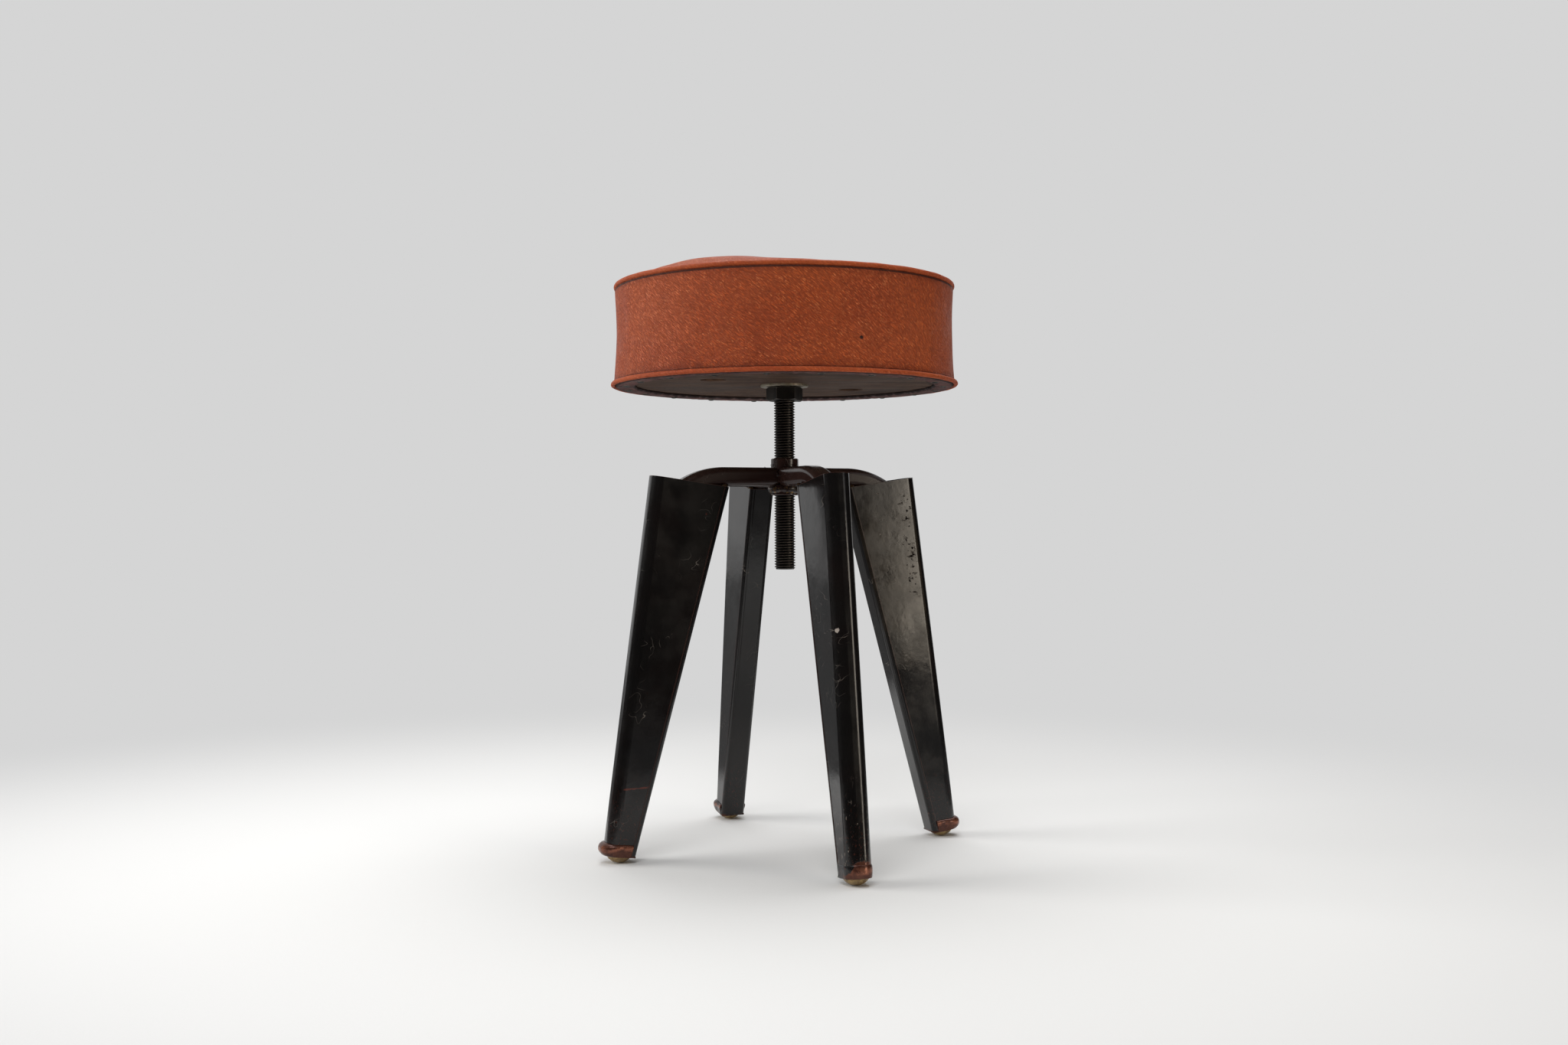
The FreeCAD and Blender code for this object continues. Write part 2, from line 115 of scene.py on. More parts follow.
def addNode(kind, values=None, **settings):
    node = work["tree"].nodes.new(kind)
    for name, value in settings.items():
        setattr(node, name, value)
    for name, value in (values or {}).items():
        feed(node.inputs[name], value)
    return node


def maths(operation, *values, clamp=False):
    node = addNode("ShaderNodeMath", dict(enumerate(values)), operation=operation)
    node.use_clamp = clamp
    return node.outputs[0]


def product(*values):
    total = values[0]
    for value in values[1:]:
        total = maths("MULTIPLY", total, value)
    return total


def vectorMaths(operation, *values):
    return addNode("ShaderNodeVectorMath", dict(enumerate(values)), operation=operation).outputs


def remap(value, low, high, toLow=0.0, toHigh=1.0):
    values = {"Value": value, "From Min": low, "From Max": high, "To Min": toLow, "To Max": toHigh}
    return addNode("ShaderNodeMapRange", values, interpolation_type="SMOOTHSTEP").outputs[0]


def mixed(factor, first, second):
    values = {0: factor, 6: first, 7: second}
    return addNode("ShaderNodeMix", values, data_type="RGBA").outputs[2]


def noiseAt(place, scale, detail=3.0, rough=0.5, distort=0.0):
    values = {"Vector": place, "Scale": scale, "Detail": detail, "Roughness": rough, "Distortion": distort}
    return addNode("ShaderNodeTexNoise", values).outputs["Fac"]


def cloudAt(place, scale, detail, rough, low, high):
    return remap(noiseAt(place, scale, detail, rough), low, high)


def stained(colour, mask, strength, blotches):
    return mixed(product(mask, strength), colour, blotches)


def objectPlace():
    return addNode("ShaderNodeTexCoord").outputs["Object"]


def moved(place, scale=(1, 1, 1), turn=(0, 0, 0), shift=(0, 0, 0)):
    values = {"Vector": place, "Scale": scale, "Rotation": turn, "Location": shift}
    return addNode("ShaderNodeMapping", values).outputs[0]


def parts(place):
    return addNode("ShaderNodeSeparateXYZ", {0: place}).outputs


def srgb(red, green, blue):
    def linear(level):
        level = level / 255
        return level / 12.92 if level <= 0.04045 else ((level + 0.055) / 1.055) ** 2.4
    return (linear(red), linear(green), linear(blue), 1.0)


def startGroup(name, inputs, outputs):
    tree = bpy.data.node_groups.new(name, "ShaderNodeTree")
    for label, value in inputs:
        tree.interface.new_socket(label, in_out="INPUT", socket_type="NodeSocketFloat").default_value = value
    for label in outputs:
        tree.interface.new_socket(label, in_out="OUTPUT", socket_type="NodeSocketFloat")
    given = tree.nodes.new("NodeGroupInput").outputs
    result = tree.nodes.new("NodeGroupOutput").inputs
    work["tree"] = tree
    return given, result


def useGroup(name, **values):
    return addNode("ShaderNodeGroup", values, node_tree=bpy.data.node_groups[name]).outputs


# Effects that several finishes share

def makeEdgeRub():
    given, result = startGroup("edgeRub", [("Width", 0.002), ("Ragged", 120.0), ("Amount", 0.5)], ["Mask"])
    bevel = addNode("ShaderNodeBevel", {"Radius": given["Width"]}, samples=4)
    geometry = addNode("ShaderNodeNewGeometry")
    dot = vectorMaths("DOT_PRODUCT", bevel.outputs[0], geometry.outputs["Normal"])["Value"]
    bend = remap(maths("SUBTRACT", 1.0, dot), 0.02, 0.2)
    place = objectPlace()
    ragged = noiseAt(place, given["Ragged"], 4.0, 0.62)
    sparse = noiseAt(place, 16.0, 2.0)
    limit = maths("SUBTRACT", 1.08, given["Amount"])
    reach = maths("ADD", product(ragged, 0.6), product(sparse, 0.55))
    reach = maths("ADD", reach, product(bend, 0.3))
    shown = remap(maths("SUBTRACT", reach, limit), 0.0, 0.07)
    feed(result["Mask"], product(shown, bend))


def makeScratches():
    inputs = [("Scale", 90.0), ("Amount", 0.5), ("Seed", 0.0)]
    given, result = startGroup("fineScratches", inputs, ["Mask"])
    place = objectPlace()
    total = None
    for index, turn in enumerate(((0.2, 0.35, 0.9), (1.3, 0.15, 0.3), (0.6, 1.25, 2.1))):
        turned = moved(place, turn=turn, shift=(index * 3.1, 0.7, index * 1.7))
        drawn = moved(turned, scale=(0.05, 1.0, 1.0))
        seeded = vectorMaths("ADD", drawn, given["Seed"])[0]
        line = noiseAt(seeded, given["Scale"], 1.0, 0.4)
        near = maths("ABSOLUTE", maths("SUBTRACT", line, 0.5))
        thin = remap(near, 0.0, 0.006, 1.0, 0.0)
        patch = noiseAt(moved(place, shift=(5.0 + index, 2.0, 1.0)), 26.0, 2.0)
        limit = maths("SUBTRACT", 0.85, product(given["Amount"], 0.5))
        patch = remap(maths("SUBTRACT", patch, limit), -0.02, 0.05)
        thin = product(thin, patch)
        total = thin if total is None else maths("MAXIMUM", total, thin)
    feed(result["Mask"], total)


def makeChips():
    given, result = startGroup("chips", [("Scale", 90.0), ("Share", 0.1), ("Size", 0.3)], ["Mask"])
    place = objectPlace()
    wobble = addNode("ShaderNodeTexNoise", {"Vector": place, "Scale": 420.0, "Detail": 3.0})
    bent = vectorMaths("SUBTRACT", wobble.outputs["Color"], (0.5, 0.5, 0.5))[0]
    bent = addNode("ShaderNodeVectorMath", {0: bent, "Scale": 0.003}, operation="SCALE").outputs[0]
    spot = vectorMaths("ADD", place, bent)[0]
    cells = addNode("ShaderNodeTexVoronoi", {"Vector": spot, "Scale": given["Scale"]})
    pick = addNode("ShaderNodeSeparateColor", {"Color": cells.outputs["Color"]}).outputs
    chosen = maths("LESS_THAN", pick[0], given["Share"])
    size = product(given["Size"], maths("ADD", 0.35, pick[1]))
    inside = remap(maths("SUBTRACT", size, cells.outputs["Distance"]), 0.0, 0.05)
    feed(result["Mask"], product(inside, chosen))


def makeDust():
    given, result = startGroup("dustFilm", [("Amount", 0.5), ("Scale", 60.0)], ["Mask"])
    up = parts(addNode("ShaderNodeNewGeometry").outputs["Normal"])
    facing = remap(up[2], 0.0, 0.9, 0.05, 1.0)
    place = objectPlace()
    cloud = remap(noiseAt(place, given["Scale"], 5.0, 0.6), 0.38, 0.7)
    fine = remap(noiseAt(place, 900.0, 2.0), 0.4, 0.65, 0.55, 1.0)
    mask = product(facing, cloud, fine)
    feed(result["Mask"], maths("MULTIPLY", mask, given["Amount"], clamp=True))


def makeGrain():
    inputs = [("Scale", 760.0), ("Twist", 7.5), ("Stretch", 0.45)]
    given, result = startGroup("wormyGrain", inputs, ["Height", "Crease"])
    place = objectPlace()
    high = parts(place)[2]
    # the rows of grain lean round the band, so the place turns with height
    leant = addNode("ShaderNodeVectorRotate", {"Vector": place, "Angle": product(high, given["Twist"])},
                    rotation_type="Z_AXIS").outputs[0]
    squeeze = addNode("ShaderNodeCombineXYZ", {0: 1.0, 1: 1.0, 2: given["Stretch"]}).outputs[0]
    drawn = vectorMaths("MULTIPLY", leant, squeeze)[0]
    worm = noiseAt(drawn, given["Scale"], 1.5, 0.5, 0.6)
    edge = remap(maths("ABSOLUTE", maths("SUBTRACT", worm, 0.5)), 0.0, 0.075)
    cells = addNode("ShaderNodeTexVoronoi", {"Vector": drawn, "Scale": product(given["Scale"], 0.9)},
                    feature="DISTANCE_TO_EDGE")
    pebble = remap(cells.outputs["Distance"], 0.0, 0.2)
    height = maths("ADD", product(edge, 0.6), product(pebble, 0.45))
    height = maths("ADD", height, product(noiseAt(place, 210.0, 3.0, 0.55), 0.5))
    feed(result["Height"], height)
    feed(result["Crease"], maths("SUBTRACT", 1.0, product(edge, pebble)))


makeEdgeRub()
makeScratches()
makeChips()
makeDust()
makeGrain()
print("shader groups made")


# Finishes

def startMaterial(name, specular=0.5):
    material = bpy.data.materials.new(name)
    material.use_nodes = True
    work["tree"] = material.node_tree
    shader = material.node_tree.nodes["Principled BSDF"]
    shader.inputs["Specular IOR Level"].default_value = specular
    return material, shader


def joinTo(shader, **values):
    names = {"colour": "Base Color", "roughness": "Roughness", "metallic": "Metallic"}
    for key, value in values.items():
        feed(shader.inputs[names[key]], value)


def roughen(shader, place, scale, low, high):
    joinTo(shader, roughness=remap(noiseAt(place, scale, 3.0), 0.3, 0.7, low, high))


def addBump(shader, height, distance):
    bump = addNode("ShaderNodeBump", {"Height": height, "Distance": distance, "Strength": 1.0})
    feed(shader.inputs["Normal"], bump.outputs[0])


def spotAt(place, centre, radius, ragged=0.4, scale=500.0, soft=0.35):
    # a ragged spot round one place on the object, 1 inside
    away = vectorMaths("DISTANCE", place, centre)["Value"]
    rough = product(maths("SUBTRACT", noiseAt(place, scale, 4.0, 0.6), 0.5), ragged * radius * 2)
    return remap(maths("ADD", away, rough), radius * (1 - soft), radius, 1.0, 0.0)


def streakAt(place, start, end, width):
    # a thin mark from one place to another
    middle = [(a + b) / 2 for a, b in zip(start, end)]
    line = Vector(end) - Vector(start)
    turned = vectorMaths("SUBTRACT", place, tuple(middle))[0]
    along = vectorMaths("DOT_PRODUCT", turned, tuple(line.normalized()))["Value"]
    length = vectorMaths("LENGTH", turned)["Value"]
    square = maths("SUBTRACT", product(length, length), product(along, along))
    wander = product(maths("SUBTRACT", noiseAt(place, 300.0, 2.0), 0.5), width * 2)
    away = maths("ADD", maths("SQRT", maths("MAXIMUM", square, 0.0)), wander)
    across = remap(away, width * 0.4, width, 1.0, 0.0)
    ends = remap(maths("ABSOLUTE", along), line.length * 0.35, line.length * 0.5, 1.0, 0.0)
    return product(across, ends)


leather = {
    "light": srgb(178, 82, 38),
    "middle": srgb(160, 66, 26),
    "dark": srgb(92, 34, 14),
    # colour of the painted highlights on the grain's tips
    "tipHighlights": srgb(208, 122, 74),
    # colour of the painted shadow line along the seams, and of the nick
    "darkening": srgb(44, 20, 14),
    "scuffed": srgb(196, 132, 100),
    "grain": 520.0,
    "grainDepth": 0.0006,
    "nick": ((0.0093, -0.1575, 0.4658), 0.0022),
    "scuff": ((0.0904, -0.1297, 0.4870), (0.0910, -0.1291, 0.4735), 0.0005),
}


def makeLeatherette(name, topSeam=None, bottomSeam=None, grain=1.0):
    material, shader = startMaterial(name, specular=0.22)
    place = objectPlace()
    pebble = useGroup("wormyGrain", Scale=leather["grain"])
    broad = cloudAt(place, 11.0, 3.0, 0.55, 0.3, 0.7)
    colour = mixed(broad, leather["middle"], leather["light"])
    mottled = cloudAt(place, 60.0, 5.0, 0.65, 0.5, 0.78)
    colour = stained(colour, mottled, 0.25, leather["dark"])
    # painted shade in the grain's creases
    colour = mixed(product(pebble["Crease"], 0.5 * grain), colour, leather["dark"])
    # painted highlights on the grain's tips, away from the creases
    tipHighlights = cloudAt(place, 480.0, 3.0, 0.6, 0.5, 0.68)
    tipHighlights = product(tipHighlights, maths("SUBTRACT", 1.0, pebble["Crease"]), 0.6 * grain)
    colour = mixed(tipHighlights, colour, leather["tipHighlights"])
    high = parts(place)[2]
    # painted shade at the seams under the top piping and over the bottom piping: a soft darkening either
    # side, made uneven by the blotches, and a thin painted shadow line on each seam
    blotches = remap(noiseAt(place, 120.0, 4.0, 0.6), 0.3, 0.75, 0.45, 1.0)
    for seam, line, reach, dark in ((topSeam, 0.0009, 0.007, 0.85), (bottomSeam, 0.0006, 0.008, 0.45)):
        if seam is not None:
            away = maths("ABSOLUTE", maths("SUBTRACT", high, seam))
            near = product(remap(away, 0.0, reach, 0.5, 0.0), blotches)
            colour = mixed(near, colour, leather["dark"])
            colour = mixed(remap(away, line * 0.5, line * 1.4, dark, 0.0), colour, leather["darkening"])
    scratch = useGroup("fineScratches", Scale=120.0, Amount=0.24, Seed=4.0)["Mask"]
    colour = stained(colour, scratch, 0.25, leather["scuffed"])
    if topSeam is not None:
        spot, size = leather["nick"]
        colour = mixed(spotAt(place, spot, size, 0.9, 700.0), colour, leather["darkening"])
        start, end, width = leather["scuff"]
        colour = stained(colour, streakAt(place, start, end, width), 0.6, leather["scuffed"])
    joinTo(shader, colour=colour)
    rub = remap(noiseAt(place, 45.0, 3.0), 0.3, 0.7, 0.40, 0.52)
    joinTo(shader, roughness=maths("ADD", rub, product(pebble["Crease"], 0.12)))
    addBump(shader, pebble["Height"], leather["grainDepth"] * grain)
    return material


enamel = {
    "black": srgb(15, 14, 14),
    "brown": srgb(44, 27, 23),
    "primer": srgb(74, 38, 28),
    "palePatch": srgb(92, 80, 64),
    "rust": srgb(84, 38, 27),
    "pit": srgb(18, 10, 8),
    "bare": srgb(132, 122, 112),
    "dust": srgb(128, 118, 104),
    "copper": srgb(86, 50, 37),
    "chip": ((-0.0108, -0.1479, 0.2155), 0.0030),
    "speckHeights": (0.020, 0.102),
    "patchHeights": (0.0092, 0.0222),  # top of the bare patch on the front nose, low at its left side
    "speckLine": ((0.1175, -0.012, 0.340), (0.1335, -0.012, 0.232), 0.0075),
    "palePatchSpot": ((0.128, -0.012, 0.262), 0.105),
    "rustMark": ((-0.1650, -0.0122, 0.0672), (-0.1370, -0.0122, 0.0680), 0.0011),
}


def footPatch(place, rough):
    # bare metal at the front foot, its ragged top edge rises from left to right
    x, y, z = parts(place)[0:3]
    low, high = enamel["patchHeights"]
    edge = remap(x, -0.0140, -0.0035, low, high)
    edge = maths("ADD", edge, product(maths("SUBTRACT", rough, 0.5), 0.009))
    below = remap(maths("SUBTRACT", edge, z), -0.0004, 0.0006)
    front = remap(y, -0.166, -0.162, 1.0, 0.0)
    return product(below, front)


def makeEnamel(name, tint=0.0, wear=0.5, gloss=0.2, marks=False):
    material, shader = startMaterial(name, specular=0.42)
    place = objectPlace()
    cloud = cloudAt(place, 16.0, 4.0, 0.6, 0.4, 0.75)
    colour = mixed(maths("ADD", product(cloud, 0.12), tint, clamp=True),
                   enamel["black"], enamel["brown"])
    rub = useGroup("edgeRub", Width=0.0011, Ragged=240.0, Amount=wear)["Mask"]
    scratch = useGroup("fineScratches", Scale=95.0, Amount=0.43, Seed=1.0)["Mask"]
    chip = useGroup("chips", Scale=110.0, Share=0.04, Size=0.13)["Mask"]
    dust = useGroup("dustFilm", Amount=0.3, Scale=40.0)["Mask"]
    fine = noiseAt(place, 520.0, 4.0, 0.62)
    low = remap(parts(place)[2], 0.012, 0.10, 1.0, 0.0)
    worn = product(remap(fine, 0.56, 0.66), low, 0.55)
    colour = stained(colour, rub, 0.75, enamel["primer"])
    colour = mixed(worn, colour, enamel["primer"])
    colour = stained(colour, scratch, 0.36, enamel["bare"])
    colour = stained(colour, chip, 0.8, enamel["primer"])
    colour = stained(colour, dust, 0.22, enamel["dust"])
    raised = maths("MAXIMUM", chip, rub)
    metal, dull = 0.0, 0.0
    if marks:
        y, z = parts(place)[1:3]
        spot, size = enamel["chip"]
        loss = spotAt(place, spot, size, 0.8, 330.0, 0.2)
        from_, to = enamel["speckHeights"]
        nose = product(remap(y, -0.146, -0.142, 1.0, 0.0), remap(z, from_, to, 1.0, 0.0))
        flecks = addNode("ShaderNodeTexNoise", {
            "Vector": moved(place, scale=(1.0, 1.0, 0.3), turn=(0, 0.3, 0)), "Scale": 520.0, "Detail": 2.0,
            "Roughness": 0.7}).outputs["Fac"]
        flecks = product(remap(flecks, 0.63, 0.69), nose)
        start, end, width = enamel["speckLine"]
        near = product(streakAt(place, start, end, width), remap(y, -0.0115, -0.011, 1.0, 0.0))
        rust = product(near, useGroup("chips", Scale=330.0, Share=0.4, Size=0.3)["Mask"])
        blot = noiseAt(moved(place, scale=(1, 1, 2.4)), 110.0, 5.0, 0.7)
        smudge = product(near, remap(blot, 0.56, 0.64))
        rust = maths("MAXIMUM", rust, smudge)
        # a soft pale grey-beige patch over the upper middle of the right leg's front panel
        spot, size = enamel["palePatchSpot"]
        palePatch = spotAt(place, spot, size, 0.5, 26.0, 0.8)
        palePatch = product(palePatch, remap(y, -0.0115, -0.011, 1.0, 0.0),
                       remap(noiseAt(place, 34.0, 6.0, 0.7), 0.3, 0.7, 0.3, 1.0))
        colour = stained(colour, palePatch, 0.24, enamel["palePatch"])
        start, end, width = enamel["rustMark"]
        colour = stained(colour, streakAt(place, start, end, width), 0.8, enamel["rust"])
        colour = stained(colour, flecks, 0.8, enamel["bare"])
        colour = stained(colour, rust, 0.9, enamel["pit"])
        dull = product(rust, 0.6)
        colour = mixed(loss, colour, srgb(150, 140, 132))
        bare = footPatch(place, fine)
        colour = mixed(bare, colour, enamel["copper"])
        raised = maths("MAXIMUM", raised, maths("MAXIMUM", loss, bare))
        metal = maths("MAXIMUM", product(bare, 0.45), product(rust, 0.9))
    joinTo(shader, colour=colour, metallic=metal)
    smear = remap(noiseAt(place, 30.0, 5.0, 0.65), 0.3, 0.7, gloss - 0.05, gloss + 0.09)
    rough = maths("ADD", smear, product(maths("MAXIMUM", rub, scratch), 0.2))
    rough = maths("ADD", rough, product(dust, 0.2))
    joinTo(shader, roughness=maths("ADD", rough, dull))
    peel = maths("ADD", product(noiseAt(place, 190.0, 2.0), 0.5),
                 product(noiseAt(place, 17.0, 2.0), 3.2))
    peel = maths("SUBTRACT", peel, product(raised, 0.7))
    addBump(shader, peel, 0.00009)
    return material


# from the bottom of the thread, darkened with painted shade, to its rubbed crest
screwThread = (0.0087, 0.0096, 1.0, 0.0)


def makeOiledSteel(name):
    material, shader = startMaterial(name)
    place = objectPlace()
    flat = moved(place, scale=(1.0, 1.0, 0.25))
    cloud = remap(noiseAt(flat, 70.0, 4.0, 0.6), 0.35, 0.7)
    colour = mixed(cloud, srgb(22, 20, 19), srgb(40, 35, 31))
    # rubbed bare steel on the edges and thread crests, made lighter still as a painted highlight on the
    # crests
    rub = useGroup("edgeRub", Width=0.0008, Ragged=300.0, Amount=0.66)["Mask"]
    colour = stained(colour, rub, 0.8, srgb(140, 128, 118))
    x, y = parts(place)[0:2]
    across = maths("SQRT", maths("ADD", product(x, x), product(y, y)))
    # painted shade in the thread's roots
    groove = remap(across, *screwThread)
    colour = mixed(groove, colour, srgb(7, 6, 6))
    joinTo(shader, colour=colour, metallic=0.55)
    roughen(shader, place, 130.0, 0.28, 0.44)
    addBump(shader, noiseAt(place, 700.0, 3.0), 0.00005)
    return material


def makeWasherSteel(name):
    material, shader = startMaterial(name)
    place = objectPlace()
    cloud = cloudAt(place, 90.0, 5.0, 0.65, 0.35, 0.7)
    colour = mixed(cloud, srgb(176, 168, 150), srgb(122, 110, 92))
    spot = useGroup("chips", Scale=240.0, Share=0.25, Size=0.3)["Mask"]
    colour = stained(colour, spot, 0.6, srgb(92, 56, 36))
    joinTo(shader, colour=colour, metallic=0.75)
    joinTo(shader, roughness=maths("ADD", product(cloud, 0.15), 0.36))
    addBump(shader, noiseAt(place, 500.0, 3.0), 0.0001)
    return material


def makeWeatheredPly(name):
    material, shader = startMaterial(name, specular=0.15)
    place = moved(objectPlace(), turn=(0, 0, math.radians(24)))
    grain = noiseAt(moved(place, scale=(1.0, 14.0, 3.0)), 26.0, 6.0, 0.68, 0.6)
    rings = addNode("ShaderNodeTexWave", {
        "Vector": moved(place, scale=(0.35, 1.0, 1.0)), "Scale": 9.0, "Distortion": 9.0,
        "Detail": 3.0, "Detail Scale": 1.2, "Detail Roughness": 0.6}, bands_direction="Y").outputs["Fac"]
    colour = mixed(remap(grain, 0.3, 0.72), srgb(60, 41, 32), srgb(104, 79, 62))
    colour = stained(colour, remap(rings, 0.35, 0.9), 0.4, srgb(56, 43, 36))
    pore = remap(noiseAt(moved(place, scale=(1.0, 26.0, 3.0)), 120.0, 3.0, 0.6), 0.58, 0.70)
    colour = stained(colour, pore, 0.65, srgb(34, 26, 22))
    pale = remap(noiseAt(moved(place, scale=(1.0, 5.0, 1.0), shift=(4, 1, 0)), 30.0, 5.0, 0.7), 0.6, 0.72)
    colour = stained(colour, pale, 0.5, srgb(128, 112, 100))
    blotches = cloudAt(place, 16.0, 5.0, 0.62, 0.45, 0.72)
    colour = stained(colour, blotches, 0.6, srgb(42, 32, 28))
    joinTo(shader, colour=colour)
    roughen(shader, place, 9.0, 0.48, 0.75)
    addBump(shader, maths("SUBTRACT", product(grain, 0.7), pore), 0.0003)
    return material


def makeHemCloth(name):
    material, shader = startMaterial(name, specular=0.4)
    place = objectPlace()
    cloud = cloudAt(place, 50.0, 5.0, 0.62, 0.35, 0.7)
    colour = mixed(cloud, srgb(70, 38, 36), srgb(106, 66, 60))
    fibre = noiseAt(place, 1500.0, 2.0, 0.6)
    colour = stained(colour, remap(fibre, 0.35, 0.7), 0.35, srgb(30, 17, 17))
    # painted shade: dark lines along the inner edge, where the hem meets the board, and along the outer edge
    # under the piping
    round_ = vectorMaths("LENGTH", vectorMaths("MULTIPLY", place, (1.0, 1.0, 0.0))[0])["Value"]
    inner = remap(round_, 0.1412, 0.1432, 1.0, 0.0)
    outer = remap(round_, 0.1562, 0.1580, 0.0, 1.0)
    colour = stained(colour, maths("MAXIMUM", inner, outer), 0.75, srgb(20, 12, 12))
    joinTo(shader, colour=colour)
    roughen(shader, place, 80.0, 0.48, 0.72)
    weave = useGroup("wormyGrain", Scale=900.0, Twist=0.0, Stretch=1.0)["Height"]
    addBump(shader, maths("ADD", weave, fibre), 0.00016)
    return material


def makeBrass(name, light, dark, dirt=0.5, dull=0.35):
    material, shader = startMaterial(name)
    place = objectPlace()
    cloud = cloudAt(place, 150.0, 4.0, 0.6, 0.35, 0.7)
    colour = mixed(cloud, light, dark)
    darkening = remap(noiseAt(moved(place, shift=(2, 5, 1)), 190.0, 5.0, 0.65), 0.48, 0.68)
    colour = mixed(product(darkening, dirt), colour, srgb(36, 28, 20))
    scratch = useGroup("fineScratches", Scale=260.0, Amount=0.6, Seed=7.0)["Mask"]
    colour = stained(colour, scratch, 0.35, srgb(190, 168, 116))
    joinTo(shader, colour=colour, metallic=maths("SUBTRACT", 0.6, product(darkening, 0.5)))
    roughen(shader, place, 240.0, dull - 0.08, dull + 0.14)
    addBump(shader, noiseAt(place, 420.0, 4.0, 0.6), 0.00016)
    return material


def makeShoeFinish(name, black=0.0, patch=False):
    material, shader = startMaterial(name)
    place = objectPlace()
    cloud = cloudAt(place, 120.0, 5.0, 0.65, 0.4, 0.66)
    colour = mixed(cloud, enamel["copper"], srgb(68, 37, 29))
    limit = 0.62 - black * 0.5
    dark = remap(noiseAt(moved(place, shift=(1, 3, 2)), 60.0, 5.0, 0.6), limit, limit + 0.08)
    colour = stained(colour, dark, 0.85, enamel["black"])
    # worn copper along the bead's crest, made lighter still as a painted highlight along it
    crest = addNode("ShaderNodeAttribute", attribute_name="crest").outputs["Fac"]
    rub = product(remap(crest, 0.7, 1.0), cloudAt(place, 180.0, 4.0, 0.6, 0.34, 0.6))
    colour = stained(colour, rub, 0.6, srgb(158, 98, 74))
    scratch = useGroup("fineScratches", Scale=200.0, Amount=0.6, Seed=2.0)["Mask"]
    colour = stained(colour, scratch, 0.35, srgb(176, 130, 104))
    metal = product(maths("SUBTRACT", 1.0, dark), 0.5)
    if patch:
        fine = noiseAt(place, 520.0, 4.0, 0.62)
        bare = footPatch(place, fine)
        coated = mixed(remap(fine, 0.6, 0.66), enamel["black"], enamel["primer"])
        colour = mixed(bare, coated, colour)
        metal = product(metal, bare)
    joinTo(shader, colour=colour, metallic=metal)
    roughen(shader, place, 150.0, 0.16, 0.32)
    addBump(shader, noiseAt(place, 300.0, 4.0), 0.00018)
    return material


def makeHubFillet(name, flecks):
    material, shader = startMaterial(name)
    place = objectPlace()
    cloud = cloudAt(place, 70.0, 4.0, 0.6, 0.35, 0.7)
    colour = mixed(cloud, srgb(24, 17, 16), srgb(46, 25, 22))
    spots = noiseAt(moved(place, shift=(3, 1, 4)), 330.0, 3.0, 0.6)
    limit = 0.72 - flecks
    bright = remap(spots, limit, limit + 0.05)
    low = remap(parts(place)[2], 0.3345, 0.3385, 1.0, 0.15)
    bright = product(bright, low)
    colour = mixed(bright, colour, srgb(150, 116, 70))
    joinTo(shader, colour=colour, metallic=product(bright, 0.8))
    roughen(shader, place, 90.0, 0.16, 0.32)
    addBump(shader, noiseAt(place, 240.0, 3.0, 0.55), 0.00022)
    return material


finish = {
    "leather": makeLeatherette("pebbledLeatherette", topSeam=0.5248, bottomSeam=0.4402),
    "piping": makeLeatherette("pipingLeatherette", grain=0.6),
    "legs": makeEnamel("blackEnamel", wear=0.42, gloss=0.13, marks=True),
    "hub": makeEnamel("brownBlackEnamel", tint=0.75, wear=0.34, gloss=0.2),
    "weld": makeHubFillet("coatedWeld", flecks=0.0),
    "lump": makeHubFillet("coatedBraze", flecks=0.16),
    "screw": makeOiledSteel("oiledSteel"),
    "washer": makeWasherSteel("dullSteel"),
    "ply": makeWeatheredPly("weatheredPly"),
    "hem": makeHemCloth("hemCloth"),
    "glide": makeBrass("glideBrass", srgb(168, 142, 98), srgb(112, 88, 54)),
    "braze": makeBrass("brazeBrass", srgb(96, 74, 46), srgb(40, 28, 22), dirt=0.85, dull=0.4),
    "shoe": makeShoeFinish("rubbedShoe"),
    "shoeBack": makeShoeFinish("rubbedShoeBack", black=0.35),
    "shoeFront": makeShoeFinish("enamelledShoe", patch=True),
}
print("finishes made")


def backdropSeen():
    rays = addNode("ShaderNodeLightPath").outputs
    seen = maths("MAXIMUM", rays["Is Camera Ray"], rays["Is Glossy Ray"])
    return maths("MAXIMUM", seen, rays["Is Transmission Ray"])


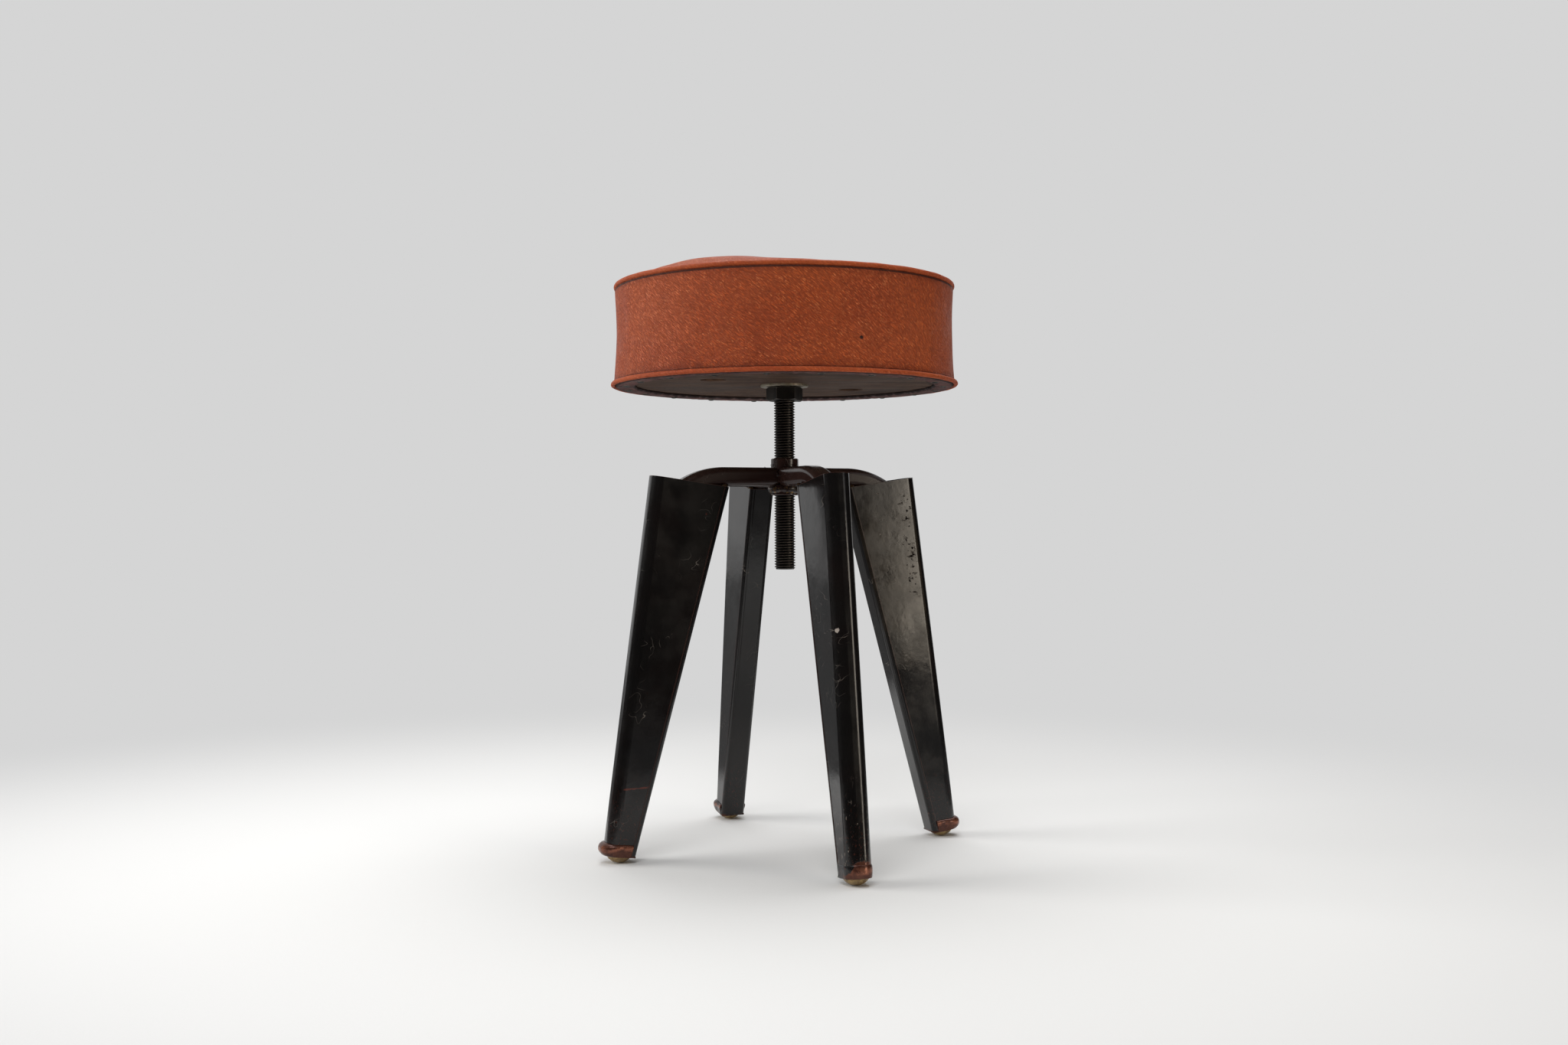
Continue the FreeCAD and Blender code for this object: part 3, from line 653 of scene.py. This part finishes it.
def makeFloor():
    material, shader = startMaterial("paperFloor", specular=0.1)
    place = objectPlace()
    tone = noiseAt(place, 1.3, 2.0)
    level = studio["floorColour"]
    colour = mixed(tone, (level * 0.985, level * 0.985, level * 0.98, 1), (level, level, level * 0.99, 1))
    joinTo(shader, colour=colour, roughness=0.9)
    addBump(shader, noiseAt(place, 400.0, 2.0), 0.0001)
    glow = addNode("ShaderNodeEmission", {"Color": (studio["backdrop"],) * 3 + (1,)})
    rays = addNode("ShaderNodeLightPath").outputs
    away = vectorMaths("LENGTH", place)["Value"]
    far = product(backdropSeen(), remap(away, studio["fadeFrom"], studio["fadeTo"]))
    # in reflections the pale floor ends a short way from the stool
    dim = product(rays["Is Glossy Ray"], remap(away, *studio["paleEnds"]))
    strength = mixed(dim, (1, 1, 1, 1), (studio["dimFloor"],) * 3 + (1,))
    feed(glow.inputs["Strength"], strength)
    far = maths("MAXIMUM", far, dim)
    blend = addNode("ShaderNodeMixShader", {0: far, 1: shader.outputs[0], 2: glow.outputs[0]})
    feed(material.node_tree.nodes["Material Output"].inputs["Surface"], blend.outputs[0])
    verts, faces = [(0, 0, -studio["floorDrop"])], []
    columns = studio["floorColumns"]
    radii = (0.5, 1.0, 2.0, 3.5, studio["floorRadius"])
    for radius in radii:
        for column in range(columns):
            angle = 2 * math.pi * column / columns
            verts.append((radius * math.cos(angle), radius * math.sin(angle), -studio["floorDrop"]))
    for column in range(columns):
        after = (column + 1) % columns
        faces.append((0, 1 + column, 1 + after))
        for row in range(len(radii) - 1):
            low, high = 1 + row * columns, 1 + (row + 1) * columns
            faces.append((low + column, high + column, high + after, low + after))
    addStage("floor", verts, faces, material)


def addStage(name, verts, faces, material):
    mesh = bpy.data.meshes.new(name)
    mesh.from_pydata(verts, [], faces)
    mesh.materials.append(material)
    piece = bpy.data.objects.new(name, mesh)
    bpy.context.scene.collection.objects.link(piece)
    return piece


def makeScreens():
    material, shader = startMaterial("darkScreen", specular=0.0)
    tone = noiseAt(objectPlace(), 2.0, 2.0)
    joinTo(shader, colour=mixed(tone, srgb(22, 22, 22), srgb(30, 30, 30)), roughness=1.0)
    steps = studio["screenSteps"]
    for name, start, end, distance, height in studio["screens"]:
        verts, faces = [], []
        for step in range(steps + 1):
            angle = start + (end - start) * step / steps
            verts += [fromCameraSide(angle, distance, 0.0), fromCameraSide(angle, distance, height)]
            if step:
                first = 2 * (step - 1)
                faces.append((first, first + 2, first + 3, first + 1))
        screen = addStage(name, verts, faces, material)
        screen.visible_camera = False
        screen.visible_diffuse = False
        screen.visible_shadow = False


def makeLights():
    world = bpy.data.worlds.new("studioWorld")
    bpy.context.scene.world = world
    world.use_nodes = True
    work["tree"] = world.node_tree
    background = world.node_tree.nodes["Background"]
    background.inputs["Color"].default_value = (1, 1, 1, 1)
    light = studio["worldLight"]
    strength = maths("ADD", light, product(backdropSeen(), studio["backdrop"] - light))
    feed(background.inputs["Strength"], strength)
    target = Vector((0, 0, 0.28))
    for name, angle, distance, height, size, power, colour in studio["lamps"]:
        data = bpy.data.lights.new(name, "AREA")
        data.shape = "RECTANGLE"
        data.size, data.size_y = size
        data.energy = power
        data.color = colour
        lamp = bpy.data.objects.new(name, data)
        lamp.location = fromCameraSide(angle, distance, height)
        lamp.rotation_euler = (target - lamp.location).to_track_quat("-Z", "Y").to_euler()
        lamp.visible_camera = False
        bpy.context.scene.collection.objects.link(lamp)
    bpy.context.scene.view_settings.view_transform = "Standard"


makeCamera()
makeFloor()
makeScreens()
makeLights()
print("camera, floor and lights made")


# Mesh helpers

def addPiece(name, verts, faces, material, body):
    mesh = bpy.data.meshes.new(name)
    mesh.from_pydata([Vector(v) for v in verts], [], faces)
    mesh.validate()
    return placePiece(name, mesh, material, body)


def placePiece(name, mesh, material, body):
    for polygon in mesh.polygons:
        polygon.use_smooth = True
    mesh.materials.clear()
    mesh.materials.append(material)
    piece = bpy.data.objects.new(name, mesh)
    bpy.context.scene.collection.objects.link(piece)
    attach(piece, body)
    return piece


def bakeModifiers(piece):
    graph = bpy.context.evaluated_depsgraph_get()
    made = bpy.data.meshes.new_from_object(piece.evaluated_get(graph))
    piece.modifiers.clear()
    piece.data = made


def subdivided(piece):
    subdivide = piece.modifiers.new("subdivide", "SUBSURF")
    subdivide.levels = subdivide.render_levels = 1
    bakeModifiers(piece)


def ringFaces(columns, rows, closedRows=False):
    faces = []
    last = rows if closedRows else rows - 1
    for row in range(last):
        upper = (row + 1) % rows
        for column in range(columns):
            after = (column + 1) % columns
            corners = ((row, column), (row, after), (upper, after), (upper, column))
            faces.append(tuple(r * columns + c for r, c in corners))
    return faces


def wave(x, y, z, scale, seed=0.0):
    return noise.noise(Vector((x / scale + seed, y / scale + seed * 1.7, z / scale - seed)))


def roundWave(turn, count, height=0.0):
    # noise that closes on itself round the seat
    return noise.noise(Vector((math.cos(turn) * count, math.sin(turn) * count, height)))


def turnedBy(x, y, turn):
    return x * math.cos(turn) - y * math.sin(turn), x * math.sin(turn) + y * math.cos(turn)


def smooth(value, low, high):
    share = min(1.0, max(0.0, (value - low) / (high - low)))
    return share * share * (3 - 2 * share)


# Seat cushion: crown, drawn-in band and the skirt round the board, one closed form

cushion = {
    "side": 64,  # quads along one side of the crown's grid, four sides make the ring
    "seamCircle": 157.0,
    "crown": [(0, 544.6), (50, 543.2), (100, 539.1), (134, 534.3), (150, 531.0), (157.0, 528.9)],
    "bandTop": (159.2, 525.8),
    "bandWaist": (157.9, 484.0),
    "bandBottom": (160.3, 439.2),
    "boardClear": 158.0,
    "boardTop": 453.3,
    "cavity": (38.0, 477.0),  # radius and top of the hollow over the nut
    # the hidden side, from the top seam round under the band and over the board into the hollow
    "seamRows": [(157.1, 527.6), (158.3, 526.4)],
    "bandRows": 26,
    "lip": [(160.0, 438.3), (159.2, 438.1), (158.0, 438.6)],
    "skirtHeights": (442, 446, 450),
    "boardCircles": (150, 135, 118, 100, 80, 60, 46),
    "cavityHeights": (458, 464, 471),
    "cavityCircles": (26, 12),
    "bandHold": 0.35,
    "pressure": 4.0,
    "frames": 20,
    "crownCap": 6.0,
    "bandCap": 0.8,
    # fuller and flatter places of the crown: x, y, spread, height
    "fuller": [(-96, -64, 56, 5.4), (46, -122, 46, -1.4)],
    "lumps": [(0.9, 46, 3.1), (0.4, 19, 8.2)],  # soft lumps of the crown: height, spread, seed
    "bandWaves": [(0.5, 3.2, 42), (0.25, 15, 60)],  # height, count round the seat, length up the band
}


def curveThrough(points, at):
    for index in range(len(points) - 1):
        (x0, y0), (x1, y1) = points[index], points[index + 1]
        if x0 <= at <= x1:
            before = points[index - 1] if index else (2 * x0 - x1, y1)
            after = points[index + 2] if index + 2 < len(points) else (2 * x1 - x0, 2 * y1 - y0)
            slopeIn = (y1 - before[1]) / (x1 - before[0])
            slopeOut = (after[1] - y0) / (after[0] - x0)
            span = x1 - x0
            t = (at - x0) / span
            return (
                (2 * t**3 - 3 * t**2 + 1) * y0 + (t**3 - 2 * t**2 + t) * span * slopeIn
                + (3 * t**2 - 2 * t**3) * y1 + (t**3 - t**2) * span * slopeOut
            )
    return points[-1][1]


def bandRadius(z):
    (r0, z0), (r1, z1), (r2, z2) = cushion["bandTop"], cushion["bandWaist"], cushion["bandBottom"]
    return (
        r0 * (z - z1) * (z - z2) / ((z0 - z1) * (z0 - z2))
        + r1 * (z - z0) * (z - z2) / ((z1 - z0) * (z1 - z2))
        + r2 * (z - z0) * (z - z1) / ((z2 - z0) * (z2 - z1))
    )


def makeCushion():
    side = cushion["side"]
    columns = 4 * side
    verts, faces, kinds = [], [], []
    index = {}
    spread = [math.sqrt(2) * math.sin(math.radians(-45 + 90 * step / side)) for step in range(side + 1)]
    for row, v in enumerate(spread):
        for column, u in enumerate(spread):
            x = u * math.sqrt(max(0.0, 1 - v * v / 2)) * cushion["seamCircle"]
            y = v * math.sqrt(max(0.0, 1 - u * u / 2)) * cushion["seamCircle"]
            r = min(math.hypot(x, y), cushion["seamCircle"])
            index[row, column] = len(verts)
            verts.append((x, y, curveThrough(cushion["crown"], r)))
            kinds.append("crown")
    for row in range(side):
        for column in range(side):
            corners = ((row, column), (row, column + 1), (row + 1, column + 1), (row + 1, column))
            faces.append(tuple(index[corner] for corner in corners))
    rim = [index[0, c] for c in range(side)] + [index[r, side] for r in range(side)]
    rim += [index[side, c] for c in range(side, 0, -1)] + [index[r, 0] for r in range(side, 0, -1)]
    for vertex in rim:
        kinds[vertex] = "seam"
    angles = [math.atan2(verts[v][1], verts[v][0]) for v in rim]
    topZ, bottomZ = cushion["bandTop"][1], cushion["bandBottom"][1]
    bandRows = cushion["bandRows"]
    profile = [(r, z, "seam") for r, z in cushion["seamRows"]]
    for step in range(bandRows + 1):
        z = topZ + (bottomZ - topZ) * step / bandRows
        profile.append((bandRadius(z), z, "band"))
    clear = cushion["boardClear"]
    hole, holeTop = cushion["cavity"]
    hidden = cushion["lip"] + [(clear, z) for z in cushion["skirtHeights"]]
    hidden += [(r, cushion["boardTop"]) for r in (clear, *cushion["boardCircles"], hole)]
    hidden += [(hole, z) for z in (*cushion["cavityHeights"], holeTop)]
    hidden += [(r, holeTop) for r in cushion["cavityCircles"]]
    profile += [(r, z, "fixed") for r, z in hidden]
    lower = rim
    for r, z, kind in profile:
        upper = []
        for angle in angles:
            upper.append(len(verts))
            verts.append((r * math.cos(angle), r * math.sin(angle), z))
            kinds.append(kind)
        for column in range(columns):
            after = (column + 1) % columns
            faces.append((lower[column], upper[column], upper[after], lower[after]))
        lower = upper
    centre = len(verts)
    verts.append((0, 0, holeTop))
    kinds.append("fixed")
    for column in range(columns):
        faces.append((lower[column], centre, lower[(column + 1) % columns]))
    points = [Vector(v) * mm for v in verts]
    piece = addPiece("seatCushion", points, faces, finish["leather"], "seat")
    swell(piece, kinds)
    shapeLumps(piece, kinds)
    firstRing = (side + 1) ** 2
    seamRing = [piece.data.vertices[firstRing + column].co.copy() for column in range(columns)]
    subdivided(piece)
    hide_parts("cover_top", "cover_band", "seat_padding")
    return seamRing


def swell(piece, kinds):
    rest = [v.co.copy() for v in piece.data.vertices]
    group = piece.vertex_groups.new(name="held")
    holds = {"crown": 0.0, "band": cushion["bandHold"], "seam": 1.0, "fixed": 1.0}
    for kind, weight in holds.items():
        group.add([i for i, k in enumerate(kinds) if k == kind], weight, "REPLACE")
    cloth = piece.modifiers.new("cloth", "CLOTH")
    cloth.settings.vertex_group_mass = "held"
    cloth.settings.use_pressure = True
    cloth.settings.uniform_pressure_force = cushion["pressure"]
    cloth.settings.quality = 6
    cloth.settings.effector_weights.gravity = 0
    scene = bpy.context.scene
    for step in range(1, cushion["frames"] + 1):
        scene.frame_set(step)
    graph = bpy.context.evaluated_depsgraph_get()
    swollen = piece.evaluated_get(graph).data
    caps = {"crown": cushion["crownCap"] * mm, "band": cushion["bandCap"] * mm, "seam": 0.0, "fixed": 0.0}
    places = []
    for i, vertex in enumerate(swollen.vertices):
        step = vertex.co - rest[i]
        cap = caps[kinds[i]]
        if cap == 0.0:
            step = Vector()
        elif step.length > cap:
            step = step * (cap / step.length)
        places.append(rest[i] + step)
    most = max((place - start).length for place, start in zip(places, rest))
    piece.modifiers.clear()
    for vertex, place in zip(piece.data.vertices, places):
        vertex.co = place
    scene.frame_set(1)
    print("cushion swollen, most moved by", round(most / mm, 2), "mm")


def shapeLumps(piece, kinds):
    for i, vertex in enumerate(piece.data.vertices):
        x, y, z = vertex.co / mm
        r = math.hypot(x, y)
        turn = math.atan2(y, x)
        if kinds[i] == "crown":
            inside = min(1.0, (cushion["seamCircle"] - r) / 14)
            lift = sum(high * wave(x, y, 0, broad, seed) for high, broad, seed in cushion["lumps"])
            for fullX, fullY, spread, height in cushion["fuller"]:
                lift += height * math.exp(-((x - fullX) ** 2 + (y - fullY) ** 2) / spread**2)
            lift += 0.35 * roundWave(turn, 11, 4.0) * math.exp(-(cushion["seamCircle"] - r) / 16)
            vertex.co.z += lift * inside * mm
        elif kinds[i] == "band":
            share = min(1.0, (528 - z) / 9, (z - 437) / 9)
            out = sum(high * roundWave(turn, count, z / long) for high, count, long in cushion["bandWaves"])
            out += 0.3 * roundWave(turn, 26, 1.0) * (math.exp(-(527 - z) / 8) + math.exp(-(z - 438) / 9))
            scale = 1 + out * max(0.0, share) / r
            vertex.co.x *= scale
            vertex.co.y *= scale


pipingLine = {"radius": 2.2, "around": 12, "bottomCircle": 161.2, "bottomHeight": 437.5}


def makePiping(name, node, line, seed):
    around = pipingLine["around"]
    count = len(line)
    verts = []
    for centre in line:
        out = Vector((centre.x, centre.y, 0)).normalized()
        turn = math.atan2(centre.y, centre.x)
        girth = pipingLine["radius"] * (1 + 0.06 * roundWave(turn, 30, seed))
        lift = 0.25 * roundWave(turn, 9, seed + 5)
        for step in range(around):
            angle = 2 * math.pi * step / around
            across = out * math.cos(angle) * girth
            verts.append(centre + (across + Vector((0, 0, math.sin(angle) * girth + lift))) * mm)
    faces = []
    for index in range(count):
        after = (index + 1) % count
        for step in range(around):
            up = (step + 1) % around
            corners = ((index, step), (after, step), (after, up), (index, up))
            faces.append(tuple(i * around + s for i, s in corners))
    piece = addPiece(name, verts, faces, finish["piping"], "seat")
    subdivided(piece)
    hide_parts(node)


hem = {
    "inner": 140.8,
    "outer": 158.7,
    "under": 438.0,
    "gap": 0.05,
    "low": 434.9,
    "columns": 900,
    "pleats": 74,
    "tackCircle": 149.5,
    "tacks": 20,
    "tackReach": 5.0,
}


def makeHem():
    random.seed(11)
    columns = hem["columns"]
    phases = [random.uniform(-0.6, 0.6) for _ in range(hem["pleats"] + 1)]
    rows = [(0.0, 0.0), (0.0, 0.6), (0.04, 0.95), (0.14, 1.0), (0.28, 1.0), (0.42, 1.0), (0.56, 1.0),
            (0.70, 1.0), (0.84, 1.0), (0.94, 0.92), (1.0, 0.55), (1.0, 0.0)]
    depth = hem["under"] - hem["low"]
    verts = []
    for share, low in rows:
        for column in range(columns):
            angle = 2 * math.pi * column / columns
            inner = hem["inner"] + 1.1 * roundWave(angle, 14, 2.0) + 0.5 * roundWave(angle, 60, 7.0)
            r = hem["outer"] + (inner - hem["outer"]) * share
            spot = angle / (2 * math.pi) * hem["pleats"]
            number = int(spot)
            part = spot - number
            phase = phases[number] * (1 - part) + phases[(number + 1) % hem["pleats"]] * part
            fold = abs(math.sin(math.pi * (spot + phase + 0.35 * share)))
            pleat = (1 - fold**0.55) * (0.25 + 0.75 * share)
            height = depth * low * (1 - 0.62 * pleat)
            nearest = (angle * hem["tacks"] / (2 * math.pi)) % 1 - 0.5
            away = math.hypot(nearest * 2 * math.pi * r / hem["tacks"], r - hem["tackCircle"])
            press = math.exp(-((away / hem["tackReach"]) ** 2))
            if low >= 0.9:
                height = height * (1 - press) + depth * press
            z = hem["under"] - hem["gap"] - height
            verts.append(Vector((r * math.cos(angle), r * math.sin(angle), z)) * mm)
    faces = ringFaces(columns, len(rows), closedRows=True)
    piece = addPiece("coverHem", verts, faces, finish["hem"], "seat")
    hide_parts("cover_hem")


seamRing = makeCushion()
print("cushion made")
topLine = []
for point in seamRing:
    out = Vector((point.x, point.y, 0)).normalized()
    topLine.append(point + out * 1.2 * mm + Vector((0, 0, 0.6 * mm)))
makePiping("pipingTop", "piping_top", topLine, 1.0)
bottomLine = []
for step in range(360):
    angle = 2 * math.pi * step / 360
    r = pipingLine["bottomCircle"] + 0.3 * roundWave(angle, 6, 9.0)
    bottomLine.append(Vector((r * math.cos(angle), r * math.sin(angle), pipingLine["bottomHeight"])) * mm)
makePiping("pipingBottom", "piping_bottom", bottomLine, 3.0)
makeHem()
print("piping and hem made")


# Weld and braze at the hub, run-together beads

hubBeads = {
    "armTop": 359.6,
    "armBottom": 341.6,
    "armHalf": 10.5,
    "sleeveWall": 11.8,  # beads stop inside the sleeve's wall
    "resolution": 0.9,
    "ripple": 0.35,
    "topCount": 26,
    "lowCount": 30,
    "strays": 12,
    "fine": 0.58,  # share of a bead's reach that shows as its radius
}


def makeBeads(name, beads, material, nodes):
    ball = bpy.data.metaballs.new(name + "Beads")
    ball.resolution = ball.render_resolution = hubBeads["resolution"] * mm
    for x, y, z, radius in beads:
        element = ball.elements.new()
        element.co = (x * mm, y * mm, z * mm)
        element.radius = radius / hubBeads["fine"] * mm
    lump = bpy.data.objects.new(name + "Beads", ball)
    bpy.context.scene.collection.objects.link(lump)
    graph = bpy.context.evaluated_depsgraph_get()
    mesh = bpy.data.meshes.new_from_object(lump.evaluated_get(graph))
    bpy.data.objects.remove(lump)
    wall = hubBeads["sleeveWall"] * mm
    for vertex in mesh.vertices:
        r = math.hypot(vertex.co.x, vertex.co.y)
        if r < wall:
            vertex.co.x *= wall / max(r, 0.0001)
            vertex.co.y *= wall / max(r, 0.0001)
        place = vertex.co / mm
        ripple = hubBeads["ripple"] * wave(place.x, place.y, place.z, 3.2, 5.0) * mm
        vertex.co += Vector((place.x, place.y, 0)).normalized() * ripple
    piece = placePiece(name, mesh, material, "frame")
    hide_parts(*nodes)


def hubTopBeads():
    beads = []
    top, bottom, half = hubBeads["armTop"], hubBeads["armBottom"], hubBeads["armHalf"]
    count = hubBeads["topCount"]
    for index in range(count):
        angle = 2 * math.pi * index / count
        c, s = math.cos(angle), math.sin(angle)
        beads.append((12.6 * c, 12.6 * s, top + 2.6 + random.uniform(-0.4, 0.4), random.uniform(0.9, 1.25)))
        beads.append((13.4 * c, 13.4 * s, top + 0.5, random.uniform(1.5, 2.0)))
    for quarter in range(4):
        turn = math.pi / 2 * quarter
        for across in (-7.5, -4.5, -1.5, 1.5, 4.5, 7.5):
            for out, radius in ((15.8, 2.0), (18.2, 1.3)):
                x, y = out + random.uniform(-0.6, 0.6), across + random.uniform(-0.6, 0.6)
                beads.append((*turnedBy(x, y, turn), top - 0.6, radius + random.uniform(-0.2, 0.4)))
        corner = turn + math.pi / 4
        z = bottom + 1
        while z < top + 1:
            out = half * math.sqrt(2) - 0.6 + random.uniform(-0.4, 0.5)
            beads.append((out * math.cos(corner), out * math.sin(corner), z, random.uniform(2.4, 3.2)))
            z += 2.2
    return beads


def hubLowBeads():
    beads = []
    bottom = hubBeads["armBottom"]
    count = hubBeads["lowCount"]
    for index in range(count):
        angle = 2 * math.pi * index / count
        c, s = math.cos(angle), math.sin(angle)
        beads.append((13.4 * c, 13.4 * s, bottom - 1.2, random.uniform(2.6, 3.6)))
        beads.append((12.9 * c, 12.9 * s, bottom - 4.6 + random.uniform(-0.6, 0.6), random.uniform(1.7, 2.6)))
    for _ in range(hubBeads["strays"]):
        angle = random.uniform(0, 2 * math.pi)
        out = random.uniform(13.0, 16.0)
        beads.append((out * math.cos(angle), out * math.sin(angle), bottom - random.uniform(0.5, 4.5),
                      random.uniform(1.8, 2.8)))
    return beads


random.seed(5)
makeBeads("hubWeld", hubTopBeads(), finish["weld"], ["hub_weld"])
makeBeads("hubBraze", hubLowBeads(), finish["lump"], ["hub_braze"])
print("hub beads made")


# Shoes round the feet, a rolled bead over a bevelled band

leg = {
    "noseHigh": 132.2,
    "noseLow": 175.2,
    "innerHigh": 56.2,
    "innerLow": 144.6,
    "highZ": 350.0,
    "lowZ": 25.0,
    "half": 12.0,
    "footNoseZ": 7.8,
    "footInnerZ": 4.4,
    "corner": 10.0,
    "flange": 5.2,
}

shoe = {
    "height": 11.4,
    "plate": 1.6,
    "stem": 3.2,
    "glideX": 162.6,
    "sideSteps": 15,
    "cornerSteps": 8,
    "noseSteps": 8,
    # share of the height, then of the bulge at the nose and at the sides, from the lower edge over the bead
    "profile": [
        (0.0, -0.12, -0.12), (0.0, 0.08, 0.0), (0.05, 0.30, 0.14), (0.13, 0.54, 0.26), (0.24, 0.76, 0.38),
        (0.36, 0.91, 0.50), (0.47, 0.98, 0.66), (0.58, 1.0, 0.86), (0.68, 0.97, 0.98), (0.77, 0.89, 1.0),
        (0.86, 0.74, 0.90), (0.93, 0.54, 0.66), (0.98, 0.28, 0.34), (1.0, 0.02, 0.02), (0.99, -0.12, -0.12),
    ],
    "bulges": {"left": (5.0, 2.1), "right": (4.6, 2.2), "back": (5.0, 2.0), "front": (1.1, 0.8)},
}


def legX(z, high, low):
    return high + (low - high) * (leg["highZ"] - z) / (leg["highZ"] - leg["lowZ"])


def makeShoe(legName, material):
    noseBulge, sideBulge = shoe["bulges"][legName]
    seed = legTurns[legName] * 0.11
    turn = math.radians(legTurns[legName])
    noseX = legX(leg["footNoseZ"], leg["noseHigh"], leg["noseLow"])
    innerX = legX(leg["footInnerZ"], leg["innerHigh"], leg["innerLow"])
    slope = (leg["footNoseZ"] - leg["footInnerZ"]) / (noseX - innerX)
    lean = (leg["noseLow"] - leg["noseHigh"]) / (leg["highZ"] - leg["lowZ"])
    leanIn = (leg["innerLow"] - leg["innerHigh"]) / (leg["highZ"] - leg["lowZ"])
    half, corner = leg["half"], leg["corner"]

    # path round the foot: place along the leg, across it, outward direction
    path = []
    openX = innerX + leg["flange"]
    sideSteps, cornerSteps, noseSteps = shoe["sideSteps"], shoe["cornerSteps"], shoe["noseSteps"]
    for step in range(sideSteps):
        path.append((openX + (noseX - corner - openX) * step / sideSteps, -half, 0, -1))
    for step in range(cornerSteps + 1):
        angle = math.radians(-90 + 90 * step / cornerSteps)
        path.append((noseX - corner + corner * math.cos(angle), -half + corner + corner * math.sin(angle),
                     math.cos(angle), math.sin(angle)))
    for step in range(1, noseSteps):
        path.append((noseX, -half + corner + (2 * half - 2 * corner) * step / noseSteps, 1, 0))
    firstSide = path[:sideSteps + cornerSteps + 1]
    path += [(x, -y, outX, -outY) for x, y, outX, outY in reversed(firstSide)]

    verts, faces, crests = [], [], []

    def add(x, y, z, crest=0.0):
        crests.append(crest)
        verts.append(Vector((*turnedBy(x, y, turn), z)) * mm)

    rows = len(shoe["profile"])
    for x, y, outX, outY in path:
        # the bead grows from the sides to the nose
        grown = smooth(x, noseX - 15, noseX + 1)
        for share, atNose, atSide in shoe["profile"]:
            lift = shoe["height"] * share
            swelling = atSide + (atNose - atSide) * grown
            bulge = (sideBulge + (noseBulge - sideBulge) * grown) * swelling
            rough = 0.2 * wave(x, y, lift + 3, 6.5, seed) + 0.06 * wave(x, y, lift, 2.4, seed + 3)
            bulge += rough * max(0.0, swelling)
            ease = smooth(x, innerX, noseX)
            shift = -lift * (lean * ease + leanIn * (1 - ease))
            footZ = leg["footInnerZ"] + slope * (x - innerX)
            drop = 0.5 * wave(x, y, 0, 9, seed + 7) * share
            add(x + shift + outX * bulge, y + outY * bulge, footZ + lift + drop, swelling)
    for column in range(len(path) - 1):
        for row in range(rows):
            after = (row + 1) % rows
            a, b = column * rows, (column + 1) * rows
            faces.append((a + row, b + row, b + after, a + after))
    faces.append(tuple(range(rows)))
    faces.append(tuple(reversed([(len(path) - 1) * rows + row for row in range(rows)])))

    # plate that closes the foot, with the hole for the glide's stem
    plateRows = []
    inside = [(x - outX * 0.3, y - outY * 0.3) for x, y, outX, outY in path]
    inside = [(innerX + 0.4, -half + 0.4)] + inside + [(innerX + 0.4, half - 0.4)]
    centreX = shoe["glideX"]
    for lift in (0.1, shoe["plate"]):
        outer, inner = [], []
        for x, y in inside:
            outer.append(len(verts))
            add(x, y, leg["footInnerZ"] + slope * (x - innerX) + lift)
        for x, y in inside:
            angle = math.atan2(y, x - centreX)
            inner.append(len(verts))
            holeX = centreX + shoe["stem"] * math.cos(angle)
            add(holeX, shoe["stem"] * math.sin(angle), leg["footInnerZ"] + slope * (holeX - innerX) + lift)
        plateRows.append((outer, inner))
    (lowOuter, lowInner), (highOuter, highInner) = plateRows
    count = len(inside)
    for index in range(count):
        after = (index + 1) % count
        faces.append((lowOuter[index], lowInner[index], lowInner[after], lowOuter[after]))
        faces.append((highOuter[index], highOuter[after], highInner[after], highInner[index]))
        faces.append((lowOuter[index], lowOuter[after], highOuter[after], highOuter[index]))
        faces.append((lowInner[index], highInner[index], highInner[after], lowInner[after]))
    piece = addPiece("shoe_" + legName, verts, faces, material, "frame")
    worn = piece.data.attributes.new("crest", "FLOAT", "POINT")
    for index, crest in enumerate(crests):
        worn.data[index].value = crest
    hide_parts("foot_shoe_" + legName)


for legName in legTurns:
    kind = {"front": "shoeFront", "back": "shoeBack"}.get(legName, "shoe")
    makeShoe(legName, finish[kind])
print("shoes made")


# Finishes on the pieces that stay as built

def dress(nodeName, material):
    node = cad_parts[nodeName]
    node.data.materials.clear()
    node.data.materials.append(material)


dress("screw_rod", finish["screw"])
dress("seat_nut", finish["screw"])
dress("upper_nut", finish["screw"])
dress("clamp_plate", finish["washer"])
dress("seat_washer", finish["washer"])
dress("seat_board", finish["ply"])
dress("hem_tacks", finish["screw"])
dress("hub_sleeve", finish["hub"])
for legName in legTurns:
    dress("cross_arm_" + legName, finish["hub"])
    dress("leg_shell_" + legName, finish["legs"])
    dress("leg_channel_" + legName, finish["legs"])
    dress("foot_glide_" + legName, finish["glide"])
    dress("leg_braze_" + legName, finish["braze"])
print("finishes given")
